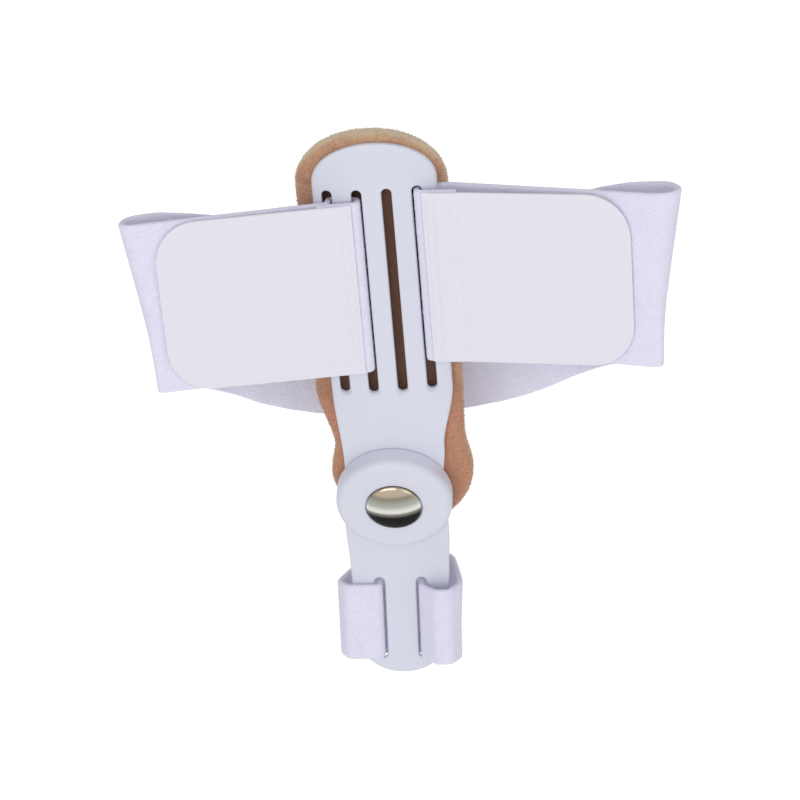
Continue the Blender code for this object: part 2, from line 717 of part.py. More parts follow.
def make_tab(name, side, reach):
    # A hook tab starts beside its slot, covers the strap's end and lies over the wing
    if side < 0:
        slot = slot_centre(2)
        over = front_y(slot_centre(1)) - LAYER - STRAP_THICKNESS - 2 * STRAP_GAP
    else:
        slot = slot_centre(4)
        over = front_y(slot) - LAYER - STRAP_GAP
    stand_off = STRAP_THICKNESS / 2 + TAB_GAP + TAB_THICKNESS / 2
    start_x = slot + side * (STRAP_BEND_RADIUS + STRAP_THICKNESS / 2)
    turn_x = slot + side * (STRAP_END_RUN + TAB_THICKNESS)
    tip_x = side * reach
    wing_y = wing_front(tip_x, side)
    corners = (
        (start_x, front_y(slot) - LAYER - stand_off - TAB_RISE, 0),
        (turn_x, over - stand_off, TAB_BEND_RADIUS),
        (tip_x, wing_y - TAB_GAP - TAB_THICKNESS / 2, 0),
    )
    plan = with_stops(rounded_route(corners), STRAP_STEP)
    total = sum((after - before).length for before, after in zip(plan, plan[1:]))
    half = STRAP_WIDTH / 2 - TAB_INSET
    kept = []
    run = 0.0
    corner_start = total - TAB_CORNER_RADIUS
    distances = [0.0]
    for before, after in zip(plan, plan[1:]):
        run += (after - before).length
        distances.append(run)
    stops = [0.0]
    for spot in distances:
        if stops[-1] + TAB_STEP < spot < corner_start - TAB_STEP:
            stops.append(spot)
    for step in range(TAB_CORNER_STEPS + 1):
        stops.append(corner_start + TAB_CORNER_RADIUS * sin(step / TAB_CORNER_STEPS * pi / 2))
    halves = []
    for stop in stops:
        index = max(i for i, spot in enumerate(distances) if spot <= stop + 1e-9)
        index = min(index, len(plan) - 2)
        share = (stop - distances[index]) / (distances[index + 1] - distances[index])
        kept.append(plan[index].lerp(plan[index + 1], share))
        past = max(stop - corner_start, 0.0)
        drop = TAB_CORNER_RADIUS - sqrt(max(TAB_CORNER_RADIUS ** 2 - past ** 2, 0.0))
        halves.append(half - drop)
    lifts = [wing_lift(spot.x) for spot in kept]
    return body(name, band(kept, lifts, halves, TAB_THICKNESS), TAB_WHITE)


def wing_front(x, side):
    # The front surface of a wing's strap at x
    if side < 0:
        start = Vector((slot_centre(1), front_y(slot_centre(1)) - LAYER))
        end = Vector((-LEFT_REACH, -LEFT_FLARE))
    else:
        rim = PLATE_SHIFT + PLATE_HALF_WIDTH + STRAP_THICKNESS
        start = Vector((rim, back_y(rim) + LAYER))
        end = Vector((RIGHT_REACH, -RIGHT_FLARE))
    share = (x - start.x) / (end.x - start.x)
    along = (end - start).normalized()
    return mix(start.y, end.y, share) - STRAP_THICKNESS / 2 / abs(along.x)


def toe_strap_corners():
    # The ring's route across the toe plate, as (across, out of the plate, bend radius)
    back = HINGE_GAP + TOUCH_GAP
    front = HINGE_GAP + TOE_THICKNESS
    layer = STRAP_GAP + TOE_STRAP_THICKNESS / 2
    slot = (TOE_RIB_WIDTH + TOE_SLOT_WIDTH) / 2
    over = front + layer
    under = back - layer
    bend = TOE_STRAP_BEND_RADIUS
    fold = TOE_STRAP_FOLD_RADIUS
    bulged = over + TOE_STRAP_BULGE
    far = -TOE_STRAP_DEPTH
    wide = TOE_STRAP_BACK_RADIUS
    return (
        (slot, under, bend),
        (slot, over, bend),
        (mix(slot, TOE_STRAP_RIGHT, 0.40), bulged, fold),
        (mix(slot, TOE_STRAP_RIGHT, 0.75), bulged, fold),
        (TOE_STRAP_RIGHT, over, fold),
        (TOE_STRAP_BACK_RIGHT, far, wide),
        (-TOE_STRAP_BACK_LEFT, far, wide),
        (-TOE_STRAP_LEFT, under, fold),
        (-mix(slot, TOE_STRAP_LEFT, 0.80), over, fold),
        (-slot, over, bend),
        (-slot, under, bend),
    )


def make_toe_strap(pivot):
    plan = rounded_route(toe_strap_corners(), closed=True)
    plan = with_stops(plan + [plan[0]], TOE_STRAP_STEP)[:-1]
    middle = TOE_SLOT_START + TOE_SLOT_LENGTH / 2 + TOE_STRAP_DROP
    lifts = [0.0] * len(plan)
    halves = [TOE_STRAP_WIDTH / 2] * len(plan)
    tilt = sin(radians(TOE_STRAP_LEAN_DEG))
    leans = []
    for spot in plan:
        outward = smooth(2 * spot.x / TOE_STRAP_RIGHT - 1)
        leans.append(tilt * outward * smooth(1 - spot.y / TOE_STRAP_BULGE))

    def where(x, depth, up):
        return toe_place(x, middle - up, depth)

    shape = band(plan, lifts, halves, TOE_STRAP_THICKNESS, closed=True, where=where, leans=leans)
    strap = body("toe_strap", shape, ELASTIC)
    strap.parent = pivot
    return strap


make_foot_plate()
make_hinge_cap()
make_pad()
make_foot_strap()
make_tab("hook_tab_left", -1, LEFT_TAB_REACH)
make_tab("hook_tab_right", 1, RIGHT_TAB_REACH)
toe_pivot = bpy.data.objects.new("toe_pivot", None)
bpy.context.collection.objects.link(toe_pivot)
toe_pivot.location = HINGE_POINT
toe_pivot.rotation_mode = "QUATERNION"
toe_turn = Matrix.Rotation(radians(TOE_TURN_DEG), 4, HINGE_AXIS)
toe_pivot.rotation_quaternion = toe_turn.to_quaternion()
make_toe_plate(toe_pivot)
make_toe_strap(toe_pivot)
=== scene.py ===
import bpy
import bmesh
from math import atan2, cos, pi, radians, sin, sqrt
from mathutils import Matrix, Vector, noise


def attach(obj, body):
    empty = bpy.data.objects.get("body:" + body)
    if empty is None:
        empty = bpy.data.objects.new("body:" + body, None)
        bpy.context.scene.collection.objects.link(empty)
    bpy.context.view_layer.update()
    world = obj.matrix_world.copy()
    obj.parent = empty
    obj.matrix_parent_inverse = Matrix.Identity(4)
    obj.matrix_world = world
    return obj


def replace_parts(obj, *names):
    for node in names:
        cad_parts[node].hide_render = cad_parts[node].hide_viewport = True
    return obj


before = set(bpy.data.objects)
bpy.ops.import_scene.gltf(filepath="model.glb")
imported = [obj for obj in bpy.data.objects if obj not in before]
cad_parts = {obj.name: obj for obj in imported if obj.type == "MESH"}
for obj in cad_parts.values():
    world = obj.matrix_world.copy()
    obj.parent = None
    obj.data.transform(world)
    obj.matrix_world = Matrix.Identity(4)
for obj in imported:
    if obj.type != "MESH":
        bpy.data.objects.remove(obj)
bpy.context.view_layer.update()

# Sizes that several pieces share, in metres, as in the part's source
splint = dict(
    hingeToSlots=0.0655, hingeShift=-0.0015, hingeSlope=radians(16.5),
    bendStart=0.0340, bendEnd=0.0160, padThickness=0.0060,
    plateThickness=0.0020, plateHalfWidth=0.0172, plateShift=0.0008,
    camberRise=0.0029, slotPitch=0.00825, slotWidth=0.0028, slotLength=0.0600,
    hingeGap=0.0003, touchGap=0.0003, strapGap=0.00035, strapRoom=0.0024,
)
splint["slotLow"] = splint["hingeToSlots"] - splint["slotLength"] / 2
splint["slotHigh"] = splint["hingeToSlots"] + splint["slotLength"] / 2
splint["frontY"] = -(splint["padThickness"] + splint["strapRoom"] + splint["plateThickness"])
splint["camber"] = splint["camberRise"] / splint["plateHalfWidth"] ** 2


def smooth(value):
    value = min(max(value, 0.0), 1.0)
    return value * value * (3 - 2 * value)


def mix(first, second, share):
    return first + (second - first) * share


def spine(height):
    # Y, Z and slope of the foot plate's front face on its middle line
    s = splint
    turnZ = s["bendStart"] - s["hingeToSlots"]
    if height >= s["bendStart"]:
        return s["frontY"], height - s["hingeToSlots"], 0.0
    bendRadius = (s["bendStart"] - s["bendEnd"]) / s["hingeSlope"]
    slope = min((s["bendStart"] - height) / bendRadius, s["hingeSlope"])
    rest = max(s["bendEnd"] - height, 0.0)
    y = s["frontY"] + bendRadius * (1 - cos(slope)) + rest * sin(slope)
    return y, turnZ - bendRadius * sin(slope) - rest * cos(slope), slope


def place(x, height, depth):
    # A point of the foot plate: across, up from the hinge, out of its front face
    s = splint
    y, z, slope = spine(height)
    share = smooth((height - s["bendEnd"]) / (s["slotLow"] - s["bendEnd"]))
    out = depth - s["camber"] * share * x * x
    return Vector((x, y - out * cos(slope), z - out * sin(slope)))


hingeY, hingeZ, hingeLean = spine(0.0)
hingePoint = Vector((splint["hingeShift"], hingeY, hingeZ))
hingeAxis = Vector((0.0, -cos(hingeLean), -sin(hingeLean)))
hingeDown = Vector((0.0, sin(hingeLean), -cos(hingeLean)))

toe = dict(
    length=0.0620, thickness=0.0022, halfWidth=0.0152, tipHalfWidth=0.0138, tipLength=0.0120,
    bend=radians(16.5 + 5.5), bendStart=0.0160, bendLength=0.0100, turn=radians(-2.0),
    rootRise=0.0008, ribWidth=0.0094, slotStart=0.0310, slotLength=0.0262, slotWidth=0.0032,
    slotDip=0.0004, across=26,
)
toeTurn = Matrix.Rotation(toe["turn"], 3, hingeAxis)


def toePlace(x, down, depth):
    # A point of the toe piece in the row frame, from its place along and out of the plate
    bendRadius = toe["bendLength"] / toe["bend"]
    point = hingeDown * min(down, toe["bendStart"])
    out = hingeAxis
    past = down - toe["bendStart"]
    if past > 0:
        turn = min(past / bendRadius, toe["bend"])
        rest = max(past - toe["bendLength"], 0.0)
        along = hingeDown * cos(turn) + hingeAxis * sin(turn)
        out = hingeAxis * cos(turn) - hingeDown * sin(turn)
        point = point + hingeAxis * bendRadius - out * bendRadius + along * rest
    return hingePoint + toeTurn @ (point + out * depth + Vector((x, 0.0, 0.0)))


def slotCentre(number):
    return (number - 2.5) * splint["slotPitch"]


def frontY(x):
    return splint["frontY"] + splint["camber"] * x * x


def backY(x):
    return frontY(x) + splint["plateThickness"]


# Shader node groups

def startGroup(name, inputs, outputs):
    tree = bpy.data.node_groups.new(name, "ShaderNodeTree")
    for label, kind, value in inputs:
        made = tree.interface.new_socket(name=label, in_out="INPUT", socket_type=kind)
        made.default_value = value
    for label, kind in outputs:
        tree.interface.new_socket(name=label, in_out="OUTPUT", socket_type=kind)
    return tree, tree.nodes.new("NodeGroupInput"), tree.nodes.new("NodeGroupOutput")


def addNode(tree, kind, links=None, **values):
    # One node with its settings; links is {input: socket or value}
    made = tree.nodes.new(kind)
    for name, value in values.items():
        setattr(made, name, value)
    for key, value in (links or {}).items():
        if isinstance(value, bpy.types.NodeSocket):
            tree.links.new(value, made.inputs[key])
        else:
            made.inputs[key].default_value = value
    return made


def addRamp(tree, factor, stops, interpolation="LINEAR"):
    made = tree.nodes.new("ShaderNodeValToRGB")
    ramp = made.color_ramp
    ramp.interpolation = interpolation
    while len(ramp.elements) < len(stops):
        ramp.elements.new(0.5)
    for element, (position, colour) in zip(ramp.elements, stops):
        element.position = position
        element.color = (*colour, 1.0)
    tree.links.new(factor, made.inputs[0])
    return made.outputs[0]


def buildGrainGroup():
    # Two sizes of noise that shift a colour and give a fine height
    tree, given, out = startGroup("soft grain", [
        ("Vector", "NodeSocketVector", (0, 0, 0)), ("Colour", "NodeSocketColor", (1, 1, 1, 1)),
        ("Shade", "NodeSocketColor", (0.8, 0.8, 0.8, 1)), ("Coarse", "NodeSocketFloat", 60.0),
        ("Fine", "NodeSocketFloat", 900.0), ("Amount", "NodeSocketFloat", 0.4),
    ], [("Colour", "NodeSocketColor"), ("Height", "NodeSocketFloat"), ("Mask", "NodeSocketFloat")])
    vector = given.outputs["Vector"]
    coarse = addNode(tree, "ShaderNodeTexNoise", {"Vector": vector, "Scale": given.outputs["Coarse"],
                                                  "Detail": 3.0, "Roughness": 0.55})
    fine = addNode(tree, "ShaderNodeTexNoise", {"Vector": vector, "Scale": given.outputs["Fine"],
                                                "Detail": 2.0, "Roughness": 0.6})
    both = addNode(tree, "ShaderNodeMath", {0: coarse.outputs["Fac"], 1: fine.outputs["Fac"]},
                   operation="MULTIPLY")
    mask = addNode(tree, "ShaderNodeMapRange", {"Value": both.outputs[0], "From Min": 0.12,
                                                "From Max": 0.42, "To Min": 0.0, "To Max": 1.0})
    part = addNode(tree, "ShaderNodeMath", {0: mask.outputs[0], 1: given.outputs["Amount"]},
                   operation="MULTIPLY")
    colour = addNode(tree, "ShaderNodeMix", {0: part.outputs[0], 6: given.outputs["Colour"],
                                             7: given.outputs["Shade"]}, data_type="RGBA")
    tree.links.new(colour.outputs[2], out.inputs["Colour"])
    tree.links.new(fine.outputs["Fac"], out.inputs["Height"])
    tree.links.new(mask.outputs[0], out.inputs["Mask"])
    return tree


def buildPileGroup():
    # Brushed loops in faint rows along the band, from its own UV map in metres
    tree, given, out = startGroup("loop pile", [
        ("Vector", "NodeSocketVector", (0, 0, 0)), ("Row", "NodeSocketFloat", 1100.0),
        ("Curl", "NodeSocketFloat", 1600.0),
    ], [("Height", "NodeSocketFloat")])
    vector = given.outputs["Vector"]
    rows = addNode(tree, "ShaderNodeTexWave", {"Vector": vector, "Scale": given.outputs["Row"],
                                               "Distortion": 3.5, "Detail": 2.0, "Detail Scale": 1.6},
                   bands_direction="Y")
    curls = addNode(tree, "ShaderNodeTexVoronoi", {"Vector": vector, "Scale": given.outputs["Curl"],
                                                   "Randomness": 0.9}, feature="SMOOTH_F1")
    height = addNode(tree, "ShaderNodeMath", {0: rows.outputs["Fac"], 1: 0.25,
                                              2: curls.outputs["Distance"]}, operation="MULTIPLY_ADD")
    tree.links.new(height.outputs[0], out.inputs["Height"])
    return tree


grainGroup = buildGrainGroup()
pileGroup = buildPileGroup()


def startMaterial(name, settings):
    made = bpy.data.materials.new(name)
    made.use_nodes = True
    tree = made.node_tree
    shader = tree.nodes["Principled BSDF"]
    for key, value in settings.items():
        shader.inputs[key].default_value = value
    return made, tree, shader


def useGroup(tree, group, links):
    made = tree.nodes.new("ShaderNodeGroup")
    made.node_tree = group
    for key, value in links.items():
        if isinstance(value, bpy.types.NodeSocket):
            tree.links.new(value, made.inputs[key])
        else:
            made.inputs[key].default_value = value
    return made


def addBump(tree, shader, height, strength, distance):
    bump = addNode(tree, "ShaderNodeBump", {"Height": height, "Strength": strength,
                                            "Distance": distance})
    tree.links.new(bump.outputs[0], shader.inputs["Normal"])


def objectPoint(tree):
    return tree.nodes.new("ShaderNodeTexCoord").outputs["Object"]


def plasticMaterial():
    made, tree, shader = startMaterial("white satin plastic", {
        "IOR": 1.49, "Coat Weight": 0.10, "Coat Roughness": 0.22})
    grain = useGroup(tree, grainGroup, {"Vector": objectPoint(tree), "Colour": (0.713, 0.722, 0.823, 1),
                                        "Shade": (0.676, 0.684, 0.787, 1), "Coarse": 55.0,
                                        "Fine": 2600.0, "Amount": 0.45})
    tree.links.new(grain.outputs["Colour"], shader.inputs["Base Color"])
    rough = addNode(tree, "ShaderNodeMapRange", {"Value": grain.outputs["Mask"],
                                                 "To Min": 0.32, "To Max": 0.42})
    tree.links.new(rough.outputs[0], shader.inputs["Roughness"])
    addBump(tree, shader, grain.outputs["Height"], 0.05, 0.0001)
    return made


def capPaintedReflectionMaterial(centre, down, radius):
    # Polished steel with a painted reflection in its colour: a beige patch on top, a bright band, then a dark
    # lower third
    made, tree, shader = startMaterial("polished cap painted reflection", {"Metallic": 1.0})
    point = objectPoint(tree)
    away = addNode(tree, "ShaderNodeVectorMath", {0: point, 1: centre}, operation="SUBTRACT")
    drop = addNode(tree, "ShaderNodeVectorMath", {0: away.outputs[0], 1: down}, operation="DOT_PRODUCT")
    side = addNode(tree, "ShaderNodeVectorMath", {0: away.outputs[0], 1: Vector((1, 0, 0))},
                   operation="DOT_PRODUCT")
    bow = addNode(tree, "ShaderNodeMath", {0: side.outputs["Value"], 1: side.outputs["Value"]},
                  operation="MULTIPLY")
    curved = addNode(tree, "ShaderNodeMath", {0: bow.outputs[0], 1: 22.0, 2: drop.outputs["Value"]},
                     operation="MULTIPLY_ADD")
    share = addNode(tree, "ShaderNodeMapRange", {"Value": curved.outputs[0], "From Min": -radius,
                                                 "From Max": radius})
    # Painted reflection: these colours, set by place on the dome, stand in for what the steel mirrors
    stops = ((0.0, (0.62, 0.53, 0.41)), (0.15, (0.60, 0.50, 0.37)), (0.23, (0.34, 0.32, 0.25)),
             (0.38, (0.50, 0.52, 0.45)), (0.535, (0.98, 0.97, 0.92)), (0.62, (0.22, 0.20, 0.18)),
             (0.69, (0.020, 0.020, 0.020)), (1.0, (0.012, 0.012, 0.012)))
    tree.links.new(addRamp(tree, share.outputs[0], stops, "EASE"), shader.inputs["Base Color"])
    grain = useGroup(tree, grainGroup, {"Vector": point, "Coarse": 700.0, "Fine": 5200.0})
    rough = addNode(tree, "ShaderNodeMapRange", {"Value": grain.outputs["Mask"],
                                                 "To Min": 0.13, "To Max": 0.24})
    tree.links.new(rough.outputs[0], shader.inputs["Roughness"])
    return made


def velourMaterial():
    made, tree, shader = startMaterial("brown velour", {
        "Roughness": 0.95, "Sheen Weight": 0.55, "Sheen Roughness": 0.45,
        "Sheen Tint": (0.95, 0.78, 0.60, 1), "Specular IOR Level": 0.15})
    rim = addNode(tree, "ShaderNodeAttribute", attribute_name="rim").outputs["Fac"]
    bare = addRamp(tree, rim, ((0.0, (0.56, 0.280, 0.180)), (0.12, (0.58, 0.315, 0.205)),
                               (0.24, (0.69, 0.460, 0.300)), (0.38, (0.80, 0.670, 0.490)),
                               (1.0, (0.84, 0.780, 0.660))))
    # Painted shade: under the plate the velour's colour is mixed towards near black
    paintedShade = addNode(tree, "ShaderNodeAttribute", attribute_name="paintedShade").outputs["Fac"]
    velourWithPaintedShade = addNode(tree, "ShaderNodeMix", {0: paintedShade, 6: bare, 7: (0.060, 0.030, 0.034, 1)},
                   data_type="RGBA").outputs[2]
    grain = useGroup(tree, grainGroup, {"Vector": objectPoint(tree), "Colour": velourWithPaintedShade,
                                        "Shade": (0.34, 0.160, 0.095, 1), "Coarse": 500.0,
                                        "Fine": 1700.0, "Amount": 0.38})
    tree.links.new(grain.outputs["Colour"], shader.inputs["Base Color"])
    addBump(tree, shader, grain.outputs["Height"], 0.55, 0.0004)
    return made


def elasticMaterial():
    made, tree, shader = startMaterial("white loop pile", {
        "Roughness": 0.92, "Sheen Weight": 0.35, "Sheen Roughness": 0.5,
        "Sheen Tint": (0.93, 0.93, 1.0, 1), "Specular IOR Level": 0.2})
    uv = addNode(tree, "ShaderNodeUVMap", uv_map="band").outputs[0]
    pile = useGroup(tree, pileGroup, {"Vector": uv, "Row": 150.0, "Curl": 1500.0})
    grain = useGroup(tree, grainGroup, {"Vector": objectPoint(tree), "Colour": (0.808, 0.795, 0.940, 1),
                                        "Shade": (0.732, 0.720, 0.870, 1), "Coarse": 150.0,
                                        "Fine": 1500.0, "Amount": 0.60})
    tree.links.new(grain.outputs["Colour"], shader.inputs["Base Color"])
    height = addNode(tree, "ShaderNodeMath", {0: pile.outputs["Height"], 1: grain.outputs["Height"]},
                     operation="ADD")
    addBump(tree, shader, height.outputs[0], 0.50, 0.0003)
    return made


def tabMaterial():
    made, tree, shader = startMaterial("hook tab tape", {
        "Sheen Weight": 0.10, "Coat Weight": 0.06, "Coat Roughness": 0.4})
    grain = useGroup(tree, grainGroup, {"Vector": objectPoint(tree), "Colour": (0.793, 0.784, 0.866, 1),
                                        "Shade": (0.762, 0.751, 0.836, 1), "Coarse": 45.0,
                                        "Fine": 1800.0, "Amount": 0.5})
    tree.links.new(grain.outputs["Colour"], shader.inputs["Base Color"])
    rough = addNode(tree, "ShaderNodeMapRange", {"Value": grain.outputs["Mask"],
                                                 "To Min": 0.40, "To Max": 0.52})
    tree.links.new(rough.outputs[0], shader.inputs["Roughness"])
    addBump(tree, shader, grain.outputs["Height"], 0.08, 0.0001)
    return made


plastic = plasticMaterial()
velour = velourMaterial()
elastic = elasticMaterial()
tabTape = tabMaterial()
print("materials ready")


# Mesh helpers

def loftRings(rings, closed=False):
    shape = bmesh.new()
    rows = [[shape.verts.new(point) for point in ring] for ring in rings]
    count = len(rows[0])
    pairs = list(zip(rows, rows[1:]))
    if closed:
        pairs.append((rows[-1], rows[0]))
    for first, second in pairs:
        for step in range(count):
            after = (step + 1) % count
            shape.faces.new((first[step], first[after], second[after], second[step]))
    if not closed:
        shape.faces.new(list(reversed(rows[0])))
        shape.faces.new(rows[-1])
    bmesh.ops.recalc_face_normals(shape, faces=shape.faces)
    return shape


def newPiece(name, shape, material, sharp=35):
    mesh = bpy.data.meshes.new(name)
    shape.to_mesh(mesh)
    shape.free()
    mesh.shade_smooth()
    mesh.set_sharp_from_angle(angle=radians(sharp))
    if material:
        mesh.materials.append(material)
    made = bpy.data.objects.new(name, mesh)
    bpy.context.scene.collection.objects.link(made)
    return made


def combine(target, other, operation):
    change = target.modifiers.new("cut", "BOOLEAN")
    change.operation = operation
    change.object = other
    change.solver = "EXACT"


def settle(piece, sharp=35):
    # Turns the piece with its modifiers into a plain mesh
    deps = bpy.context.evaluated_depsgraph_get()
    mesh = bpy.data.meshes.new_from_object(piece.evaluated_get(deps))
    piece.modifiers.clear()
    piece.data = mesh
    mesh.shade_smooth()
    mesh.set_sharp_from_angle(angle=radians(sharp))
    return piece


def roundedSection(left, right, back, front, radius, across, edge):
    # Points (x, depth) round a bar with rounded corners, from the back left corner
    radius = min(radius, (right - left) * 0.4, (front - back) * 0.48)
    points = []
    for step in range(across):
        points.append((mix(left + radius, right - radius, step / across), back))
    corners = ((right - radius, back + radius, -pi / 2), (right - radius, front - radius, 0.0),
               (left + radius, front - radius, pi / 2), (left + radius, back + radius, pi))
    for number, (x, depth, start) in enumerate(corners):
        for step in range(edge if number == 3 else edge + 1):
            angle = start + step / edge * pi / 2
            points.append((x + radius * cos(angle), depth + radius * sin(angle)))
        if number == 1:
            for step in range(1, across):
                points.append((mix(right - radius, left + radius, step / across), front))
    return points


def archedEnd(start, reach, middle, half, radius, depths, steps=20):
    # Stations of a rounded end, from its full width to its tip
    rows = []
    size = abs(reach)
    for step in range(1, steps + 1):
        angle = radians(87.5) * step / steps
        out = size * sin(angle)
        wide = half * cos(angle)
        past = max(out - (size - radius), 0.0)
        inward = radius - sqrt(radius ** 2 - past ** 2)
        height = start + out * (1 if reach > 0 else -1)
        back, front = depths(height)
        rows.append((height, middle - wide, middle + wide, back + inward, front - inward))
    return rows


def slab(stations, where, radius, across, edge):
    rings = []
    for height, left, right, back, front in stations:
        section = roundedSection(left, right, back, front, radius, across, edge)
        rings.append([where(x, height, depth) for x, depth in section])
    return loftRings(rings)


def lathe(profile, centre, steps, closed):
    # A solid of revolution round the hinge axis, from (radius, distance out) rows
    side = Vector((1.0, 0.0, 0.0))
    other = hingeAxis.cross(side)
    if closed:
        rings = []
        for step in range(steps):
            angle = 2 * pi * (step + 0.5) / steps
            out = side * cos(angle) + other * sin(angle)
            rings.append([centre + hingeAxis * along + out * radius for radius, along in profile])
        return loftRings(rings, closed=True)
    shape = bmesh.new()
    rows = []
    for radius, along in profile:
        middle = centre + hingeAxis * along
        if radius == 0:
            rows.append([shape.verts.new(middle)] * steps)
            continue
        row = []
        for step in range(steps):
            angle = 2 * pi * (step + 0.5) / steps
            row.append(shape.verts.new(middle + (side * cos(angle) + other * sin(angle)) * radius))
        rows.append(row)
    for first, second in zip(rows, rows[1:]):
        for step in range(steps):
            after = (step + 1) % steps
            corners = []
            for corner in (first[step], first[after], second[after], second[step]):
                if corner not in corners:
                    corners.append(corner)
            shape.faces.new(corners)
    bmesh.ops.recalc_face_normals(shape, faces=shape.faces)
    return shape


def slotCutter(name, centre, halfLength, halfWidth, where, thickness, lip, dip):
    # A slot with rounded lips in front and back, and a soft moulded dip at its lower end
    # A level is how far the cutter stands out of the face, and how far its lip has turned
    cutMargin, endSteps = 0.004, 20
    levels = [(cutMargin, 20)]
    levels += [(0.0, angle) for angle in (20, 38, 56, 73, 90)]
    rings = []
    for side, sign in (("front", -1), ("back", 1)):
        rows = []
        for extra, angle in levels:
            turn = radians(angle)
            ring = []
            for number in range(2 * endSteps):
                around = number % endSteps / (endSteps - 1) * pi
                flip = -1 if number >= endSteps else 1
                low = smooth(-flip * sin(around) * 1.6 - 0.2) if side == "front" else 0.0
                wide = mix(lip, dip, low)
                growth = wide * (1 - sin(turn))
                sink = mix(lip, dip * 0.9, low) * (1 - cos(turn))
                x = flip * (halfWidth + growth) * cos(around)
                z = flip * (halfLength - halfWidth + (halfWidth + growth) * sin(around))
                face = 0.0 if side == "front" else -thickness
                ring.append(where(centre + x, z, face + sign * sink - sign * extra))
            rows.append(ring)
        rings += rows if side == "front" else rows[::-1]
    made = newPiece(name, loftRings(rings), None)
    made.hide_render = True
    return made


def removePieces(*pieces):
    for piece in pieces:
        bpy.data.objects.remove(piece, do_unlink=True)


# Foot plate: thin moulded plate, curved across, with four long slots
footPlate = dict(top=0.0430, topArch=0.0112, neckHalfWidth=0.0147, endRadius=0.0140,
                 edge=0.0008, lip=0.00055, dip=0.0015, across=30, rivetHole=0.0033,
                 cutBehind=0.006, cutAhead=0.004, holeSteps=48, edgeSteps=5)


def plateEdges(height):
    s = splint
    share = smooth((height - s["bendEnd"]) / (s["slotLow"] - s["bendEnd"]))
    half = mix(footPlate["neckHalfWidth"], s["plateHalfWidth"], share)
    return mix((s["hingeShift"] + s["plateShift"]) / 2, s["plateShift"], share), half


def makeFootPlate():
    s, f = splint, footPlate
    back, front = -s["plateThickness"], 0.0

    def depths(height):
        return back, front

    stations = archedEnd(0.0, -f["endRadius"], s["hingeShift"], f["endRadius"], f["edge"], depths)[::-1]
    middle, half = plateEdges(s["bendEnd"])
    for step in range(6):
        share = step / 6
        centre = mix(s["hingeShift"], middle, smooth(share))
        wide = mix(f["endRadius"], half, smooth(share))
        stations.append((s["bendEnd"] * share, centre - wide, centre + wide, back, front))
    archStart = s["hingeToSlots"] + f["top"] - f["topArch"]
    bent = s["slotLow"] + s["slotWidth"]
    heights = [mix(s["bendEnd"], bent, step / 26) for step in range(26)]
    heights += [mix(bent, archStart, step / 12) for step in range(13)]
    for height in heights:
        middle, half = plateEdges(height)
        stations.append((height, middle - half, middle + half, back, front))
    stations += archedEnd(archStart, f["topArch"], s["plateShift"], s["plateHalfWidth"], f["edge"],
                          depths)
    plate = newPiece("footPlateShell", slab(stations, place, f["edge"], f["across"], f["edgeSteps"]), plastic)
    cutters = []
    for number in range(1, 5):
        cutters.append(slotCutter("slotCutter%d" % number, slotCentre(number), s["slotLength"] / 2,
                                  s["slotWidth"] / 2,
                                  lambda x, z, depth: place(x, s["hingeToSlots"] + z, depth),
                                  s["plateThickness"], f["lip"], f["dip"]))
    wide, behind, ahead = f["rivetHole"], -f["cutBehind"], f["cutAhead"]
    rivet = ((0, behind), (wide, behind), (wide, ahead), (0, ahead))
    hole = newPiece("rivetCutter", lathe(rivet, hingePoint, f["holeSteps"], False), None)
    hole.hide_render = True
    cutters.append(hole)
    for cutter in cutters:
        combine(plate, cutter, "DIFFERENCE")
    settle(plate)
    removePieces(*cutters)
    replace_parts(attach(plate, "splint"), "foot_plate")


makeFootPlate()
print("foot plate done")


# Toe plate: the hinge disc and the plate below it, one moulding
disc = dict(radius=0.0169, height=0.0065, edge=0.0026, seatRadius=0.0083, seatDepth=0.0007,
            bore=0.0033, seatLip=0.0003, steps=128, edgeSteps=12)


def toeEdges(down):
    t = toe
    share = (down - disc["radius"]) / (t["length"] - t["tipLength"] - disc["radius"])
    return mix(t["halfWidth"], t["tipHalfWidth"], min(max(share, 0.0), 1.0))


def toeDepths(down):
    s, t = splint, toe
    lift = t["rootRise"] * (1 - smooth((down - t["bendStart"]) / t["bendLength"]))
    return s["hingeGap"] + s["touchGap"], s["hingeGap"] + t["thickness"] + lift


